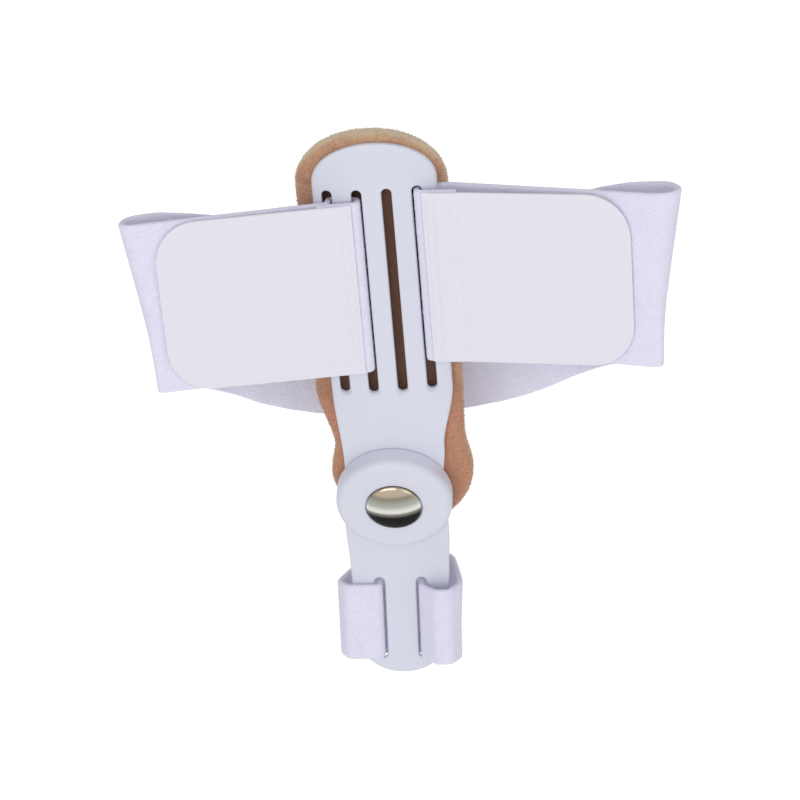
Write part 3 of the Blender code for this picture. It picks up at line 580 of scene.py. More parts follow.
def makeToePlate():
    s, t, d = splint, toe, disc
    blendEnd = t["bendStart"] + t["bendLength"]
    tipStart = t["length"] - t["tipLength"]
    root = sqrt(d["radius"] ** 2 - t["halfWidth"] ** 2) - t["thickness"]
    rows = [mix(root, t["bendStart"], step / 4) for step in range(4)]
    rows += [mix(t["bendStart"], blendEnd, step / 20) for step in range(20)]
    rows += [mix(blendEnd, tipStart, step / 6) for step in range(7)]
    stations = [(down, -toeEdges(down), toeEdges(down), *toeDepths(down)) for down in rows]
    edge = footPlate["edge"]
    stations += archedEnd(tipStart, t["tipLength"], 0.0, t["tipHalfWidth"], edge, toeDepths)
    blank = slab(stations, toePlace, edge, t["across"], footPlate["edgeSteps"])
    plate = newPiece("toePlateShell", blank, plastic)
    low = s["hingeGap"]
    top = low + d["height"]
    seat = top - d["seatDepth"]
    profile = [(d["bore"], low), (d["radius"], low)]
    for step in range(d["edgeSteps"] + 1):
        angle = step / d["edgeSteps"] * pi / 2
        profile.append((d["radius"] - d["edge"] * (1 - cos(angle)), top - d["edge"] * (1 - sin(angle))))
    lip = d["seatLip"]
    profile += [(d["seatRadius"] + lip, top), (d["seatRadius"] + lip * 0.3, top - lip * 0.3),
                (d["seatRadius"], top - lip), (d["seatRadius"], seat), (d["bore"], seat)]
    rounded = newPiece("discCutter", lathe(profile, hingePoint, d["steps"], True), None)
    rounded.hide_render = True
    combine(plate, rounded, "UNION")
    cutters = [rounded]
    middle = t["slotStart"] + t["slotLength"] / 2
    for side in (-1, 1):
        centre = side * (t["ribWidth"] + t["slotWidth"]) / 2
        front = s["hingeGap"] + t["thickness"]
        cutter = slotCutter("toeSlotCutter%d" % side, centre, t["slotLength"] / 2, t["slotWidth"] / 2,
                            lambda x, z, depth: toePlace(x, middle - z, front + depth),
                            t["thickness"] - s["touchGap"], footPlate["lip"], t["slotDip"])
        combine(plate, cutter, "DIFFERENCE")
        cutters.append(cutter)
    settle(plate)
    removePieces(*cutters)
    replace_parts(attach(plate, "toe"), "toe_plate")


makeToePlate()
print("toe plate done")


# Hinge cap: domed rivet head in the disc's seat, with its plain shaft
cap = dict(radius=0.0080, rise=0.0017, rim=0.0005, rivetRadius=0.0030, headRadius=0.0050,
           headThickness=0.0010, domeSteps=20, steps=96)


def makeHingeCap():
    s, c = splint, cap
    base = s["hingeGap"] + disc["height"] - disc["seatDepth"] + s["touchGap"]
    tail = -s["plateThickness"] - s["touchGap"]
    rimTop = base + c["rim"]
    rise = c["rise"] + disc["seatDepth"] - s["touchGap"] - c["rim"]
    profile = [(0, tail - c["headThickness"]), (c["headRadius"], tail - c["headThickness"]),
               (c["headRadius"], tail), (c["rivetRadius"], tail), (c["rivetRadius"], base),
               (c["radius"], base)]
    for step in range(c["domeSteps"]):
        angle = step / c["domeSteps"] * pi / 2
        profile.append((c["radius"] * cos(angle), rimTop + rise * sin(angle)))
    profile.append((0, rimTop + rise))
    steel = capPaintedReflectionMaterial(hingePoint, hingeDown, c["radius"])
    dome = newPiece("hingeCapDome", lathe(profile, hingePoint, c["steps"], False), steel)
    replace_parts(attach(dome, "splint"), "hinge_cap")


makeHingeCap()
print("hinge cap done")


# Pile: short closed fibres spread over a piece's surface by Geometry Nodes

fibreSizes = (0.55, 1.25)  # the shortest and the longest fibre, as shares of its length


def buildPileTree():
    tree = bpy.data.node_groups.new("pile fibres", "GeometryNodeTree")
    sockets = (("Geometry", "NodeSocketGeometry", None), ("Density", "NodeSocketFloat", 1e6),
               ("Length", "NodeSocketFloat", 0.0008), ("Width", "NodeSocketFloat", 0.00012),
               ("Lean", "NodeSocketFloat", 0.6), ("Seed", "NodeSocketInt", 1),
               ("Material", "NodeSocketMaterial", None))
    keys = {}
    for name, kind, value in sockets:
        made = tree.interface.new_socket(name=name, in_out="INPUT", socket_type=kind)
        if value is not None:
            made.default_value = value
        keys[name] = made.identifier
    tree.interface.new_socket(name="Geometry", in_out="OUTPUT", socket_type="NodeSocketGeometry")
    given = tree.nodes.new("NodeGroupInput")
    out = tree.nodes.new("NodeGroupOutput")
    values = given.outputs
    spread = addNode(tree, "GeometryNodeDistributePointsOnFaces",
                     {"Mesh": values["Geometry"], "Density": values["Density"], "Seed": values["Seed"]})
    fibre = addNode(tree, "GeometryNodeMeshCone", {"Vertices": 3, "Side Segments": 1, "Radius Top": 0.0,
                                                   "Radius Bottom": values["Width"],
                                                   "Depth": values["Length"]}, fill_type="NGON")
    negative = addNode(tree, "ShaderNodeMath", {0: values["Lean"], 1: -1.0}, operation="MULTIPLY")
    low = addNode(tree, "ShaderNodeCombineXYZ", {0: negative.outputs[0], 1: negative.outputs[0], 2: 0.0})
    high = addNode(tree, "ShaderNodeCombineXYZ", {0: values["Lean"], 1: values["Lean"], 2: 6.28})
    tilt = addNode(tree, "FunctionNodeRandomValue", {"Min": low.outputs[0], "Max": high.outputs[0],
                                                     "Seed": values["Seed"]}, data_type="FLOAT_VECTOR")
    turned = addNode(tree, "FunctionNodeRotateRotation", {"Rotation": spread.outputs["Rotation"],
                                                          "Rotate By": tilt.outputs[0]},
                     rotation_space="LOCAL")
    size = addNode(tree, "FunctionNodeRandomValue", {"Seed": values["Seed"]}, data_type="FLOAT")
    size.inputs[2].default_value, size.inputs[3].default_value = fibreSizes
    spikes = addNode(tree, "GeometryNodeInstanceOnPoints",
                     {"Points": spread.outputs["Points"], "Instance": fibre.outputs["Mesh"],
                      "Rotation": turned.outputs[0], "Scale": size.outputs[1]})
    real = addNode(tree, "GeometryNodeRealizeInstances", {0: spikes.outputs[0]})
    painted = addNode(tree, "GeometryNodeSetMaterial", {"Geometry": real.outputs[0],
                                                        "Material": values["Material"]})
    tree.links.new(painted.outputs[0], out.inputs[0])
    return tree, keys


pileTree, pileKeys = buildPileTree()


def addPile(name, source, material, values, body):
    # A copy of the source carries the fibres, which become a plain mesh of their own
    made = bpy.data.objects.new(name, source.data.copy())
    bpy.context.scene.collection.objects.link(made)
    change = made.modifiers.new("pile", "NODES")
    change.node_group = pileTree
    for key, value in {**values, "Material": material}.items():
        change[pileKeys[key]] = value
    settle(made)
    made.data.shade_flat()
    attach(made, body)
    print(name, len(made.data.polygons), "faces")


# Pad: crowned foam with a velour cover that turns cream towards its skin side
pad = dict(halfWidth=0.0212, shift=-0.0008, topMargin=0.0022, topArch=0.0165,
           waistHalfWidth=0.0188, waistShift=0.0013, waistHeight=0.0160, bulbRadius=0.0206,
           bulbShift=0.0009, bulbHeight=0.0040, edge=0.0031, ripple=0.00016, across=30,
           shade=0.74, shadeRun=0.010, creamRun=0.018,
           pocketRadius=0.0053, pocketDepth=0.0044, pocketAhead=0.002,
           edgeSteps=8, endSteps=26, broadNoise=320, fineNoise=900,
           shadeInset=0.0012, shadeFade=0.001, shadeReach=0.003, shadeDepth=0.34, openHalf=0.0035)
padPile = dict(Density=3.2e6, Length=0.00055, Width=0.00007, Lean=0.75, Seed=4)


def padDepths(height):
    s = splint
    near = -s["plateThickness"] - s["touchGap"]
    far = -s["plateThickness"] - s["strapRoom"]
    fade = s["slotWidth"]
    low = smooth((height - (s["slotLow"] - fade)) / fade)
    high = smooth((s["slotHigh"] + fade - height) / fade)
    return far - s["padThickness"], mix(near, far, min(low, high))


def makePad():
    s, p = splint, pad
    stations = archedEnd(p["bulbHeight"], -p["bulbRadius"], p["bulbShift"], p["bulbRadius"], p["edge"],
                         padDepths, p["endSteps"])[::-1]
    topHeight = s["hingeToSlots"] + footPlate["top"] + p["topMargin"]
    archStart = topHeight - p["topArch"]
    heights = [mix(p["bulbHeight"], s["slotLow"] - s["slotWidth"], step / 24) for step in range(24)]
    heights += [mix(s["slotLow"] - s["slotWidth"], archStart, step / 34) for step in range(35)]
    for height in heights:
        up = smooth((height - p["waistHeight"]) / (s["slotLow"] - p["waistHeight"]))
        down = smooth((p["waistHeight"] - height) / (p["waistHeight"] - p["bulbHeight"]))
        half = mix(mix(p["waistHalfWidth"], p["halfWidth"], up), p["bulbRadius"], down)
        middle = mix(mix(p["waistShift"], p["shift"], up), p["bulbShift"], down)
        stations.append((height, middle - half, middle + half, *padDepths(height)))
    stations += archedEnd(archStart, p["topArch"], p["shift"], p["halfWidth"], p["edge"], padDepths,
                          p["endSteps"])
    shape = slab(stations, place, p["edge"], p["across"], p["edgeSteps"])
    shape.normal_update()
    moves = []
    for vertex in shape.verts:
        broad = noise.noise(vertex.co * p["broadNoise"])
        wave = broad * 0.6 + noise.noise(vertex.co * p["fineNoise"]) * 0.4
        most = 0.0 if abs(vertex.normal.y) > 0.9 else 1.0
        moves.append(vertex.normal * min(wave, most) * p["ripple"])
    for vertex, move in zip(shape.verts, moves):
        vertex.co += move
    cushion = newPiece("padVelour", shape, velour, 60)
    wide, deep, ahead = p["pocketRadius"], -p["pocketDepth"], p["pocketAhead"]
    pocket = ((0, deep), (wide, deep), (wide, ahead), (0, ahead))
    cutter = newPiece("pocketCutter", lathe(pocket, hingePoint, footPlate["holeSteps"], False), None)
    cutter.hide_render = True
    combine(cushion, cutter, "DIFFERENCE")
    settle(cushion, 60)
    removePieces(cutter)
    # Painted shade: under the plate the velour's colour is darkened, most of all at the upper ends of the
    # filled slots
    rim = cushion.data.attributes.new("rim", "FLOAT", "POINT")
    paintedShade = cushion.data.attributes.new("paintedShade", "FLOAT", "POINT")
    for index, vertex in enumerate(cushion.data.vertices):
        share, height = padRim(vertex.co)
        atTop = smooth((height - topHeight + p["creamRun"]) / (p["creamRun"] * 0.8))
        rim.data[index].value = min(share * mix(0.5, 1.0, atTop) + 0.12 * atTop, 1.0)
        middle, half = plateEdges(height)
        inside = smooth((half - p["shadeInset"] - abs(vertex.co.x - middle)) / p["shadeFade"])
        low = smooth((height - s["slotLow"] + p["shadeReach"]) / (2 * p["shadeFade"]))
        high = smooth((s["slotHigh"] + p["shadeReach"] - height) / (2 * p["shadeFade"]))
        filled = smooth((abs(vertex.co.x - slotCentre(3)) - p["openHalf"]) / p["shadeFade"])
        upper = smooth((height - s["slotHigh"] + p["shadeRun"]) / p["shadeReach"])
        shade = mix(p["shade"], 1.0, filled * upper)
        front = 1 - smooth((share - p["shadeDepth"]) * 6)
        paintedShade.data[index].value = inside * low * high * shade * front
    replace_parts(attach(cushion, "splint"), "pad")
    return cushion


def padRim(point):
    # 0 on the brown front to 1 at the cream skin side, and the height along the plate
    s = splint
    best = None
    for step in range(-22, 112, 2):
        y, z, slope = spine(step / 1000)
        gap = (point.z - z) * cos(slope) - (y - point.y) * -sin(slope)
        if best is None or abs(gap) < best[0]:
            best = (abs(gap), (y - point.y) * cos(slope) + (z - point.z) * sin(slope), step / 1000)
    share = smooth((best[2] - s["bendEnd"]) / (s["slotLow"] - s["bendEnd"]))
    depth = best[1] + s["camber"] * share * point.x * point.x
    back, front = -s["plateThickness"] - s["strapRoom"] - s["padThickness"], -s["plateThickness"]
    return min(max((front - depth) / (front - back), 0.0), 1.0), best[2]


cushion = makePad()
addPile("padPile", cushion, velour, padPile, "splint")
print("pad done")


# Straps: routes in plan, rounded at their corners, skinned as soft bands

def roundedRoute(corners, closed=False, steps=10):
    count = len(corners)
    points = []
    for index, (x, y, radius) in enumerate(corners):
        here = Vector((x, y))
        if not closed and index in (0, count - 1):
            points.append(here)
            continue
        before = Vector(corners[index - 1][:2])
        after = Vector(corners[(index + 1) % count][:2])
        come = (here - before).normalized()
        leave = (after - here).normalized()
        turn = atan2(come.x * leave.y - come.y * leave.x, come.dot(leave))
        reach = radius * abs(sin(turn / 2) / cos(turn / 2))
        side = 1 if turn > 0 else -1
        centre = here - come * reach + Vector((-come.y, come.x)) * radius * side
        start = here - come * reach - centre
        parts = max(2, round(abs(turn) / (pi / 2) * steps))
        for step in range(parts + 1):
            a = turn * step / parts
            points.append(centre + Vector((start.x * cos(a) - start.y * sin(a),
                                           start.x * sin(a) + start.y * cos(a))))
    return points


def withStops(points, longest):
    full = [points[0]]
    for point in points[1:]:
        start = full[-1]
        parts = max(1, int((point - start).length / longest + 0.999))
        for part in range(1, parts + 1):
            full.append(start.lerp(point, part / parts))
    return full


# Noise scales per metre of a loose band's slow sway and of its wavy edges, and the edges' share
bandNoise = dict(sway=45, edge=160, edgeShare=0.35)


def bandPiece(name, plan, lifts, halves, thickness, material, closed=False, where=None, leans=None,
              slack=None, wave=0.0, across=22, roundness=0.46, sharp=60, trims=None):
    # slack is a list of 0 to 1 along the route: 0 keeps the band still, as inside a slot.
    # trims are thicknesses taken off the two faces along the route.
    count = len(plan)
    rings = []
    run = [0.0]
    for before, after in zip(plan, plan[1:]):
        run.append(run[-1] + (after - before).length)
    sections = []
    for index in range(count):
        after = (index + 1) % count if closed else min(index + 1, count - 1)
        before = index - 1 if closed else max(index - 1, 0)
        along = plan[after] - plan[before]
        length = along.length
        slope = atan2(lifts[after] - lifts[before], length)
        along = along / length
        sideways = Vector((along.y, -along.x))
        half = halves[index] / cos(slope)
        lean = leans[index] if leans else 0.0
        loose = (slack[index] if slack else 0.0) * wave
        under, over = trims[index] if trims else (0.0, 0.0)
        section = roundedSection(-half, half, -thickness / 2 + under, thickness / 2 - over,
                                 thickness * roundness, across, 4)
        ring = []
        for up, out in section:
            spot = Vector((run[index] * bandNoise["sway"], up * bandNoise["sway"], 3.7))
            sway = noise.noise(spot) * loose
            edgeSpot = Vector((run[index] * bandNoise["edge"], 9.1 if up > 0 else 2.3, 0.5))
            edge = noise.noise(edgeSpot) * loose * bandNoise["edgeShare"]
            flat = plan[index] + sideways * (out - up * lean + sway)
            z = lifts[index] + up + (edge if abs(up) > half * 0.8 else 0.0)
            ring.append(where(flat.x, flat.y, z) if where else Vector((flat.x, flat.y, z)))
        rings.append(ring)
        sections.append([(run[index], up) for up, out in section])
    shape = loftRings(rings, closed)
    layer = shape.loops.layers.uv.new("band")
    size = len(sections[0])
    shape.verts.index_update()
    total = run[-1] + ((plan[0] - plan[-1]).length if closed else 0.0)
    for face in shape.faces:
        rowNumbers = [loop.vert.index // size for loop in face.loops]
        wraps = closed and max(rowNumbers) - min(rowNumbers) > 1
        for loop, row in zip(face.loops, rowNumbers):
            u, v = sections[row][loop.vert.index % size]
            loop[layer].uv = (u + (total if wraps and row == 0 else 0.0), v)
    return newPiece(name, shape, material, sharp)


footBand = dict(thickness=0.0017, width=0.0502, endRun=0.0108, bend=0.00125, leftReach=0.0653,
                rightReach=0.0788, leftFlare=0.0175, rightFlare=0.0185, leftFold=0.0022,
                rightFold=0.0034, backDepth=0.0185, backHalfWidth=0.0230, backBend=0.0450,
                backDrop=0.0300, leftDroop=1.0, rightDroop=1.8, leftLean=7.6, rightLean=9.5,
                backLean=-9.0, leanFade=0.40, leftLift=0.0021, rightLift=0.0042, wave=0.00055,
                step=0.0016, wingSlack=0.12, wingFrom=0.030, wingRun=0.020, backSlack=0.35,
                backFrom=0.020, backRun=0.014, easeIn=14)
footPile = dict(Density=0.95e6, Length=0.00050, Width=0.00007, Lean=0.9, Seed=11)
layer = splint["strapGap"] + footBand["thickness"] / 2


def footCorners():
    s, b = splint, footBand
    slots = [slotCentre(number) for number in (1, 2, 4)]
    over = [frontY(x) - layer for x in slots]
    under = [backY(x) + layer for x in slots]
    stacked = over[0] - b["thickness"] - s["strapGap"]
    rim = s["plateShift"] + s["plateHalfWidth"] + b["thickness"]
    bend = b["bend"]
    return ((slots[1] - b["endRun"], stacked - s["strapGap"], 0), (slots[1], over[1], bend),
            (slots[1], under[1], bend), (slots[0], under[0], bend), (slots[0], over[0], bend),
            (-b["leftReach"], -b["leftFlare"], b["leftFold"]),
            (-b["leftReach"], -b["leftFlare"] + 2 * b["leftFold"], b["leftFold"]),
            (-b["backHalfWidth"], b["backDepth"], b["backBend"]),
            (b["backHalfWidth"], b["backDepth"], b["backBend"]),
            (b["rightReach"], -b["rightFlare"] + 2 * b["rightFold"], b["rightFold"]),
            (b["rightReach"], -b["rightFlare"], b["rightFold"]),
            (rim, backY(rim) + layer, b["rightFold"]),
            (slots[2], under[2], bend), (slots[2], over[2], bend),
            (slots[2] + b["endRun"], over[2] - s["strapGap"], 0))


def wingLift(x):
    b = footBand
    if x < 0:
        return b["leftLift"] - max(slotCentre(1) - x, 0.0) * sin(radians(b["leftDroop"]))
    return b["rightLift"] - max(x - slotCentre(4), 0.0) * sin(radians(b["rightDroop"]))


def makeFootBand():
    b = footBand
    plan = withStops(roundedRoute(footCorners()), b["step"])
    count = len(plan)
    leftTip = min(range(count), key=lambda index: plan[index].x)
    rightTip = max(range(count), key=lambda index: plan[index].x)
    middle = min(range(leftTip, rightTip), key=lambda index: abs(plan[index].x))
    run = [0.0]
    for before, after in zip(plan, plan[1:]):
        run.append(run[-1] + (after - before).length)
    bottom = (b["leftLift"] + b["rightLift"]) / 2 - b["backDrop"]
    lifts, leans, slack = [], [], []
    for index, spot in enumerate(run):
        left = index <= middle
        tip = leftTip if left else rightTip
        lift = wingLift(plan[tip].x)
        lean = sin(radians(b["leftLean"] if left else b["rightLean"]))
        share = (spot - run[tip]) / (run[middle] - run[tip])
        if share < 0:
            lifts.append(wingLift(plan[index].x))
            fold = b["leftFold"] if left else b["rightFold"]
            leans.append(lean * smooth(1 - abs(spot - run[tip]) / (fold * pi / 2)))
            slack.append(b["wingSlack"] * smooth((abs(plan[index].x) - b["wingFrom"]) / b["wingRun"]))
        else:
            lifts.append(mix(lift, bottom, (1 - cos(pi * share)) / 2))
            leans.append(mix(lean, sin(radians(b["backLean"])), smooth(share / b["leanFade"])))
            near = smooth((abs(plan[index].x) - b["backFrom"]) / b["backRun"])
            slack.append(mix(b["backSlack"], 1.0, near) * smooth(share * b["easeIn"]))
    halves = [b["width"] / 2] * count
    band = bandPiece("footBand", plan, lifts, halves, b["thickness"], elastic, leans=leans,
                     slack=slack, wave=b["wave"])
    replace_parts(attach(band, "splint"), "foot_strap")
    return band


band = makeFootBand()
addPile("footBandPile", band, elastic, footPile, "splint")
print("foot strap done")


# Hook tabs: smooth tape over the strap's ends, welded down in a grid beside the slot
tabs = dict(thickness=0.0009, corner=0.0120, bend=0.0200, rise=0.00014, gap=0.0003, inset=0.0003,
            leftReach=0.0598, rightReach=0.0696, taper=0.00055, taperRun=0.0040,
            overhang=0.0007, step=0.0015, least=0.0006)
weld = dict(pitch=0.00205, size=0.00150, height=0.00021, start=0.0006, columns=5, margin=0.0016,
            topShare=0.62)


def wingFront(x, side):
    s, b = splint, footBand
    if side < 0:
        start = Vector((slotCentre(1), frontY(slotCentre(1)) - layer))
        end = Vector((-b["leftReach"], -b["leftFlare"]))
    else:
        rim = s["plateShift"] + s["plateHalfWidth"] + b["thickness"]
        start = Vector((rim, backY(rim) + layer))
        end = Vector((b["rightReach"], -b["rightFlare"]))
    share = (x - start.x) / (end.x - start.x)
    along = (end - start).normalized()
    return mix(start.y, end.y, share) - b["thickness"] / 2 / abs(along.x)


def buildWeldTree():
    tree = bpy.data.node_groups.new("weld grid", "GeometryNodeTree")
    keys = {}
    for name, kind in (("Geometry", "NodeSocketGeometry"), ("Points", "NodeSocketObject"),
                       ("Size", "NodeSocketFloat"), ("Height", "NodeSocketFloat"),
                       ("Material", "NodeSocketMaterial")):
        keys[name] = tree.interface.new_socket(name=name, in_out="INPUT", socket_type=kind).identifier
    tree.interface.new_socket(name="Geometry", in_out="OUTPUT", socket_type="NodeSocketGeometry")
    given = tree.nodes.new("NodeGroupInput")
    out = tree.nodes.new("NodeGroupOutput")
    points = addNode(tree, "GeometryNodeObjectInfo", {"Object": given.outputs["Points"]})
    stud = addNode(tree, "GeometryNodeMeshCone", {"Vertices": 4, "Side Segments": 2}, fill_type="NGON")
    # A stud is a four-sided cone, so its radius is half its diagonal
    wide = addNode(tree, "ShaderNodeMath", {0: given.outputs["Size"], 1: 0.7071}, operation="MULTIPLY")
    narrow = addNode(tree, "ShaderNodeMath", {0: wide.outputs[0], 1: weld["topShare"]},
                     operation="MULTIPLY")
    tree.links.new(wide.outputs[0], stud.inputs["Radius Bottom"])
    tree.links.new(narrow.outputs[0], stud.inputs["Radius Top"])
    tree.links.new(given.outputs["Height"], stud.inputs["Depth"])
    facing = addNode(tree, "GeometryNodeInputNamedAttribute", {"Name": "facing"},
                     data_type="FLOAT_VECTOR")
    lined = addNode(tree, "FunctionNodeAlignRotationToVector", {"Vector": facing.outputs[0]}, axis="Z")
    turned = addNode(tree, "FunctionNodeRotateRotation", {"Rotation": lined.outputs[0]},
                     rotation_space="LOCAL")
    turned.inputs["Rotate By"].default_value = (0.0, 0.0, pi / 4)
    dots = addNode(tree, "GeometryNodeInstanceOnPoints", {
        "Points": points.outputs["Geometry"], "Instance": stud.outputs["Mesh"],
        "Rotation": turned.outputs[0]})
    joined = addNode(tree, "GeometryNodeJoinGeometry")
    tree.links.new(dots.outputs[0], joined.inputs[0])
    tree.links.new(given.outputs["Geometry"], joined.inputs[0])
    real = addNode(tree, "GeometryNodeRealizeInstances", {0: joined.outputs[0]})
    painted = addNode(tree, "GeometryNodeSetMaterial", {"Geometry": real.outputs[0],
                                                        "Material": given.outputs["Material"]})
    tree.links.new(painted.outputs[0], out.inputs[0])
    return tree, keys


weldTree, weldKeys = buildWeldTree()


def makeTab(name, side, reach, node):
    s, t = splint, tabs
    slot = slotCentre(2 if side < 0 else 4)
    if side < 0:
        over = frontY(slotCentre(1)) - layer - footBand["thickness"] - 2 * s["strapGap"]
    else:
        over = frontY(slot) - layer - s["strapGap"]
    standOff = footBand["thickness"] / 2 + t["gap"] + t["thickness"] / 2
    tipX = side * reach
    corners = ((slot + side * (footBand["bend"] + footBand["thickness"] / 2 - t["overhang"]),
                frontY(slot) - layer - standOff - t["rise"], 0),
               (slot + side * (footBand["endRun"] + t["thickness"]), over - standOff, t["bend"]),
               (tipX, wingFront(tipX, side) - t["gap"] - t["thickness"] / 2, 0))
    plan = withStops(roundedRoute(corners), t["step"])
    distances = [0.0]
    for before, after in zip(plan, plan[1:]):
        distances.append(distances[-1] + (after - before).length)
    cornerStart = distances[-1] - t["corner"]
    stops = [0.0]
    for spot in distances:
        if stops[-1] + t["least"] < spot < cornerStart - t["least"]:
            stops.append(spot)
    stops += [cornerStart + t["corner"] * sin(step / 24 * pi / 2) for step in range(25)]
    half = footBand["width"] / 2 - t["inset"]
    kept, halves, weldPoints = [], [], []

    def spotAt(distance):
        index = max(i for i, d in enumerate(distances) if d <= distance + 1e-9)
        index = min(index, len(plan) - 2)
        share = (distance - distances[index]) / (distances[index + 1] - distances[index])
        along = (plan[index + 1] - plan[index]).normalized()
        return plan[index].lerp(plan[index + 1], share), along

    def thinning(distance):
        # The tape thins to nothing much at its welded end
        return t["taper"] * (1 - smooth(distance / t["taperRun"]))

    for stop in stops:
        kept.append(spotAt(stop)[0])
        past = max(stop - cornerStart, 0.0)
        halves.append(half - t["corner"] + sqrt(max(t["corner"] ** 2 - past ** 2, 0.0)))
    lifts = [wingLift(spot.x) for spot in kept]
    trims = [(thinning(stop), 0.0) if side < 0 else (0.0, thinning(stop)) for stop in stops]
    tab = bandPiece(name, kept, lifts, halves, t["thickness"], tabTape, across=16, roundness=0.42,
                    sharp=50, trims=trims)
    rows = int((half * 2 - 2 * weld["margin"]) / weld["pitch"])
    facings = []
    for column in range(weld["columns"]):
        distance = weld["start"] + (column + 0.5) * weld["pitch"]
        spot, along = spotAt(distance)
        outward = Vector((along.y, -along.x)) * (1 if side > 0 else -1)
        for row in range(rows):
            up = (row - (rows - 1) / 2) * weld["pitch"]
            at = spot + outward * (t["thickness"] / 2 - thinning(distance) - weld["height"] * 0.3)
            weldPoints.append((at.x, at.y, wingLift(spot.x) + up))
            facings.append((outward.x, outward.y, 0.0))
    lattice = bpy.data.meshes.new(name + "Lattice")
    lattice.from_pydata(weldPoints, [], [])
    facing = lattice.attributes.new("facing", "FLOAT_VECTOR", "POINT")
    for index, value in enumerate(facings):
        facing.data[index].vector = value
    holder = bpy.data.objects.new(name + "Lattice", lattice)
    bpy.context.scene.collection.objects.link(holder)
    change = tab.modifiers.new("weld", "NODES")
    change.node_group = weldTree
    for key, value in (("Points", holder), ("Size", weld["size"]), ("Height", weld["height"]),
                       ("Material", tabTape)):
        change[weldKeys[key]] = value
    settle(tab, 50)
    removePieces(holder)
    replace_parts(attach(tab, "splint"), node)


makeTab("tabLeft", -1, tabs["leftReach"], "hook_tab_left")
makeTab("tabRight", 1, tabs["rightReach"], "hook_tab_right")
print("hook tabs done")


# Toe strap: a narrow ring through the toe plate's two slots
toeBand = dict(thickness=0.0016, width=0.0242, left=0.0186, right=0.0172, bulge=0.0046, depth=0.0225,
               backLeft=0.0105, backRight=0.0135, bend=0.0012, fold=0.0024, backRadius=0.0070,
               lean=5.0, drop=0.0006, wave=0.0004, step=0.0013,
               slackFrom=0.002, slackRun=0.005)
toePile = dict(Density=4.0e6, Length=0.00045, Width=0.00006, Lean=0.9, Seed=23)


def makeToeBand():
    s, t, b = splint, toe, toeBand
    back = s["hingeGap"] + s["touchGap"]
    front = s["hingeGap"] + t["thickness"]
    gap = s["strapGap"] + b["thickness"] / 2
    slot = (t["ribWidth"] + t["slotWidth"]) / 2
    over, under, bend, fold = front + gap, back - gap, b["bend"], b["fold"]
    bulged, far = over + b["bulge"], -b["depth"]
    corners = ((slot, under, bend), (slot, over, bend), (mix(slot, b["right"], 0.40), bulged, fold),
               (mix(slot, b["right"], 0.75), bulged, fold), (b["right"], over, fold),
               (b["backRight"], far, b["backRadius"]), (-b["backLeft"], far, b["backRadius"]),
               (-b["left"], under, fold), (-mix(slot, b["left"], 0.80), over, fold),
               (-slot, over, bend), (-slot, under, bend))
    plan = roundedRoute(corners, closed=True)
    plan = withStops(plan + [plan[0]], b["step"])[:-1]
    middle = t["slotStart"] + t["slotLength"] / 2 + b["drop"]
    leans, slack = [], []
    for spot in plan:
        outward = smooth(2 * spot.x / b["right"] - 1)
        leans.append(sin(radians(b["lean"])) * outward * smooth(1 - spot.y / b["bulge"]))
        slack.append(smooth((-spot.y - b["slackFrom"]) / b["slackRun"]))
    band = bandPiece("toeBand", plan, [0.0] * len(plan), [b["width"] / 2] * len(plan), b["thickness"],
                     elastic, closed=True, where=lambda x, depth, up: toePlace(x, middle - up, depth),
                     leans=leans, slack=slack, wave=b["wave"], across=14)
    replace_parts(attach(band, "toe"), "toe_strap")
    return band


ring = makeToeBand()
addPile("toeBandPile", ring, elastic, toePile, "toe")
print("toe strap done")


# Studio: pale floor well below the part, soft light from above and in front
studio = dict(floorZ=-0.42, floorSize=8.0, paper=(1.0, 1.0, 1.0, 1), seen=1.0, floorLight=0.62,
              skyLight=0.56,
              keyPower=4.0, keySize=0.9, keyAt=(-0.30, -1.15, 0.30), fillPower=2.0,
              fillAt=(0.75, -0.90, 0.10))
lens = dict(azimuth=radians(6.0), elevation=radians(23.5), roll=radians(5.0), distance=0.600,
            focal=97.0, target=Vector((0.0040, -0.0194, -0.0285)))


def paperGlow(tree, light):
    # The paper looks white to the camera and lights the part softly
    path = tree.nodes.new("ShaderNodeLightPath")
    glow = addNode(tree, "ShaderNodeMapRange", {"Value": path.outputs["Is Camera Ray"], "To Min": light,
                                                "To Max": studio["seen"]})
    return glow.outputs[0]


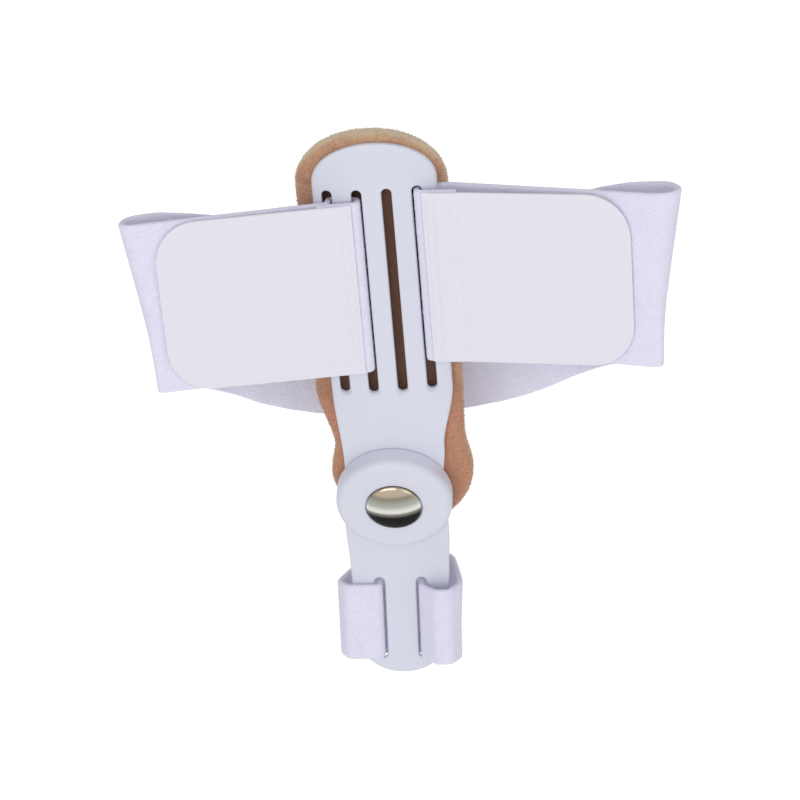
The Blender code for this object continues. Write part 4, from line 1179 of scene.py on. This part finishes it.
def makeFloor():
    size = studio["floorSize"]
    mesh = bpy.data.meshes.new("studioFloor")
    corner = [(-size, -size), (size, -size), (size, size), (-size, size)]
    mesh.from_pydata([(x, y, studio["floorZ"]) for x, y in corner], [], [(0, 1, 2, 3)])
    made, tree, shader = startMaterial("pale floor", {
        "Base Color": (0.2, 0.2, 0.2, 1), "Roughness": 1.0, "Emission Color": studio["paper"]})
    tree.links.new(paperGlow(tree, studio["floorLight"]), shader.inputs["Emission Strength"])
    mesh.materials.append(made)
    floor = bpy.data.objects.new("studioFloor", mesh)
    bpy.context.scene.collection.objects.link(floor)


def addLight(name, at, power, size):
    light = bpy.data.lights.new(name, "AREA")
    light.energy = power
    light.size = size
    made = bpy.data.objects.new(name, light)
    made.location = at
    made.rotation_mode = "QUATERNION"
    made.rotation_quaternion = (Vector((0, 0, -0.03)) - Vector(at)).to_track_quat("-Z", "Y")
    bpy.context.scene.collection.objects.link(made)


def makeCamera():
    a, e, r = lens["azimuth"], lens["elevation"], lens["roll"]
    out = Vector((sin(a) * cos(e), -cos(a) * cos(e), sin(e)))
    right = Vector((cos(a), sin(a), 0.0))
    up = out.cross(right)
    imageRight = right * cos(r) - up * sin(r)
    imageUp = right * sin(r) + up * cos(r)
    data = bpy.data.cameras.new("camera")
    data.lens = lens["focal"]
    data.sensor_width = 36.0
    data.clip_start, data.clip_end = 0.01, 50.0
    made = bpy.data.objects.new("camera", data)
    turn = Matrix((imageRight, imageUp, out)).transposed()
    made.matrix_world = Matrix.Translation(lens["target"] + out * lens["distance"]) @ turn.to_4x4()
    bpy.context.scene.collection.objects.link(made)
    bpy.context.scene.camera = made


def makeSky():
    world = bpy.data.worlds.new("studio sky")
    world.use_nodes = True
    bpy.context.scene.world = world
    shade = world.node_tree.nodes["Background"]
    shade.inputs["Color"].default_value = studio["paper"]
    world.node_tree.links.new(paperGlow(world.node_tree, studio["skyLight"]), shade.inputs["Strength"])


makeFloor()
makeSky()
addLight("keyLight", studio["keyAt"], studio["keyPower"], studio["keySize"])
addLight("fillLight", studio["fillAt"], studio["fillPower"], studio["keySize"])
makeCamera()
bpy.context.scene.view_settings.view_transform = "Standard"
print("studio done")
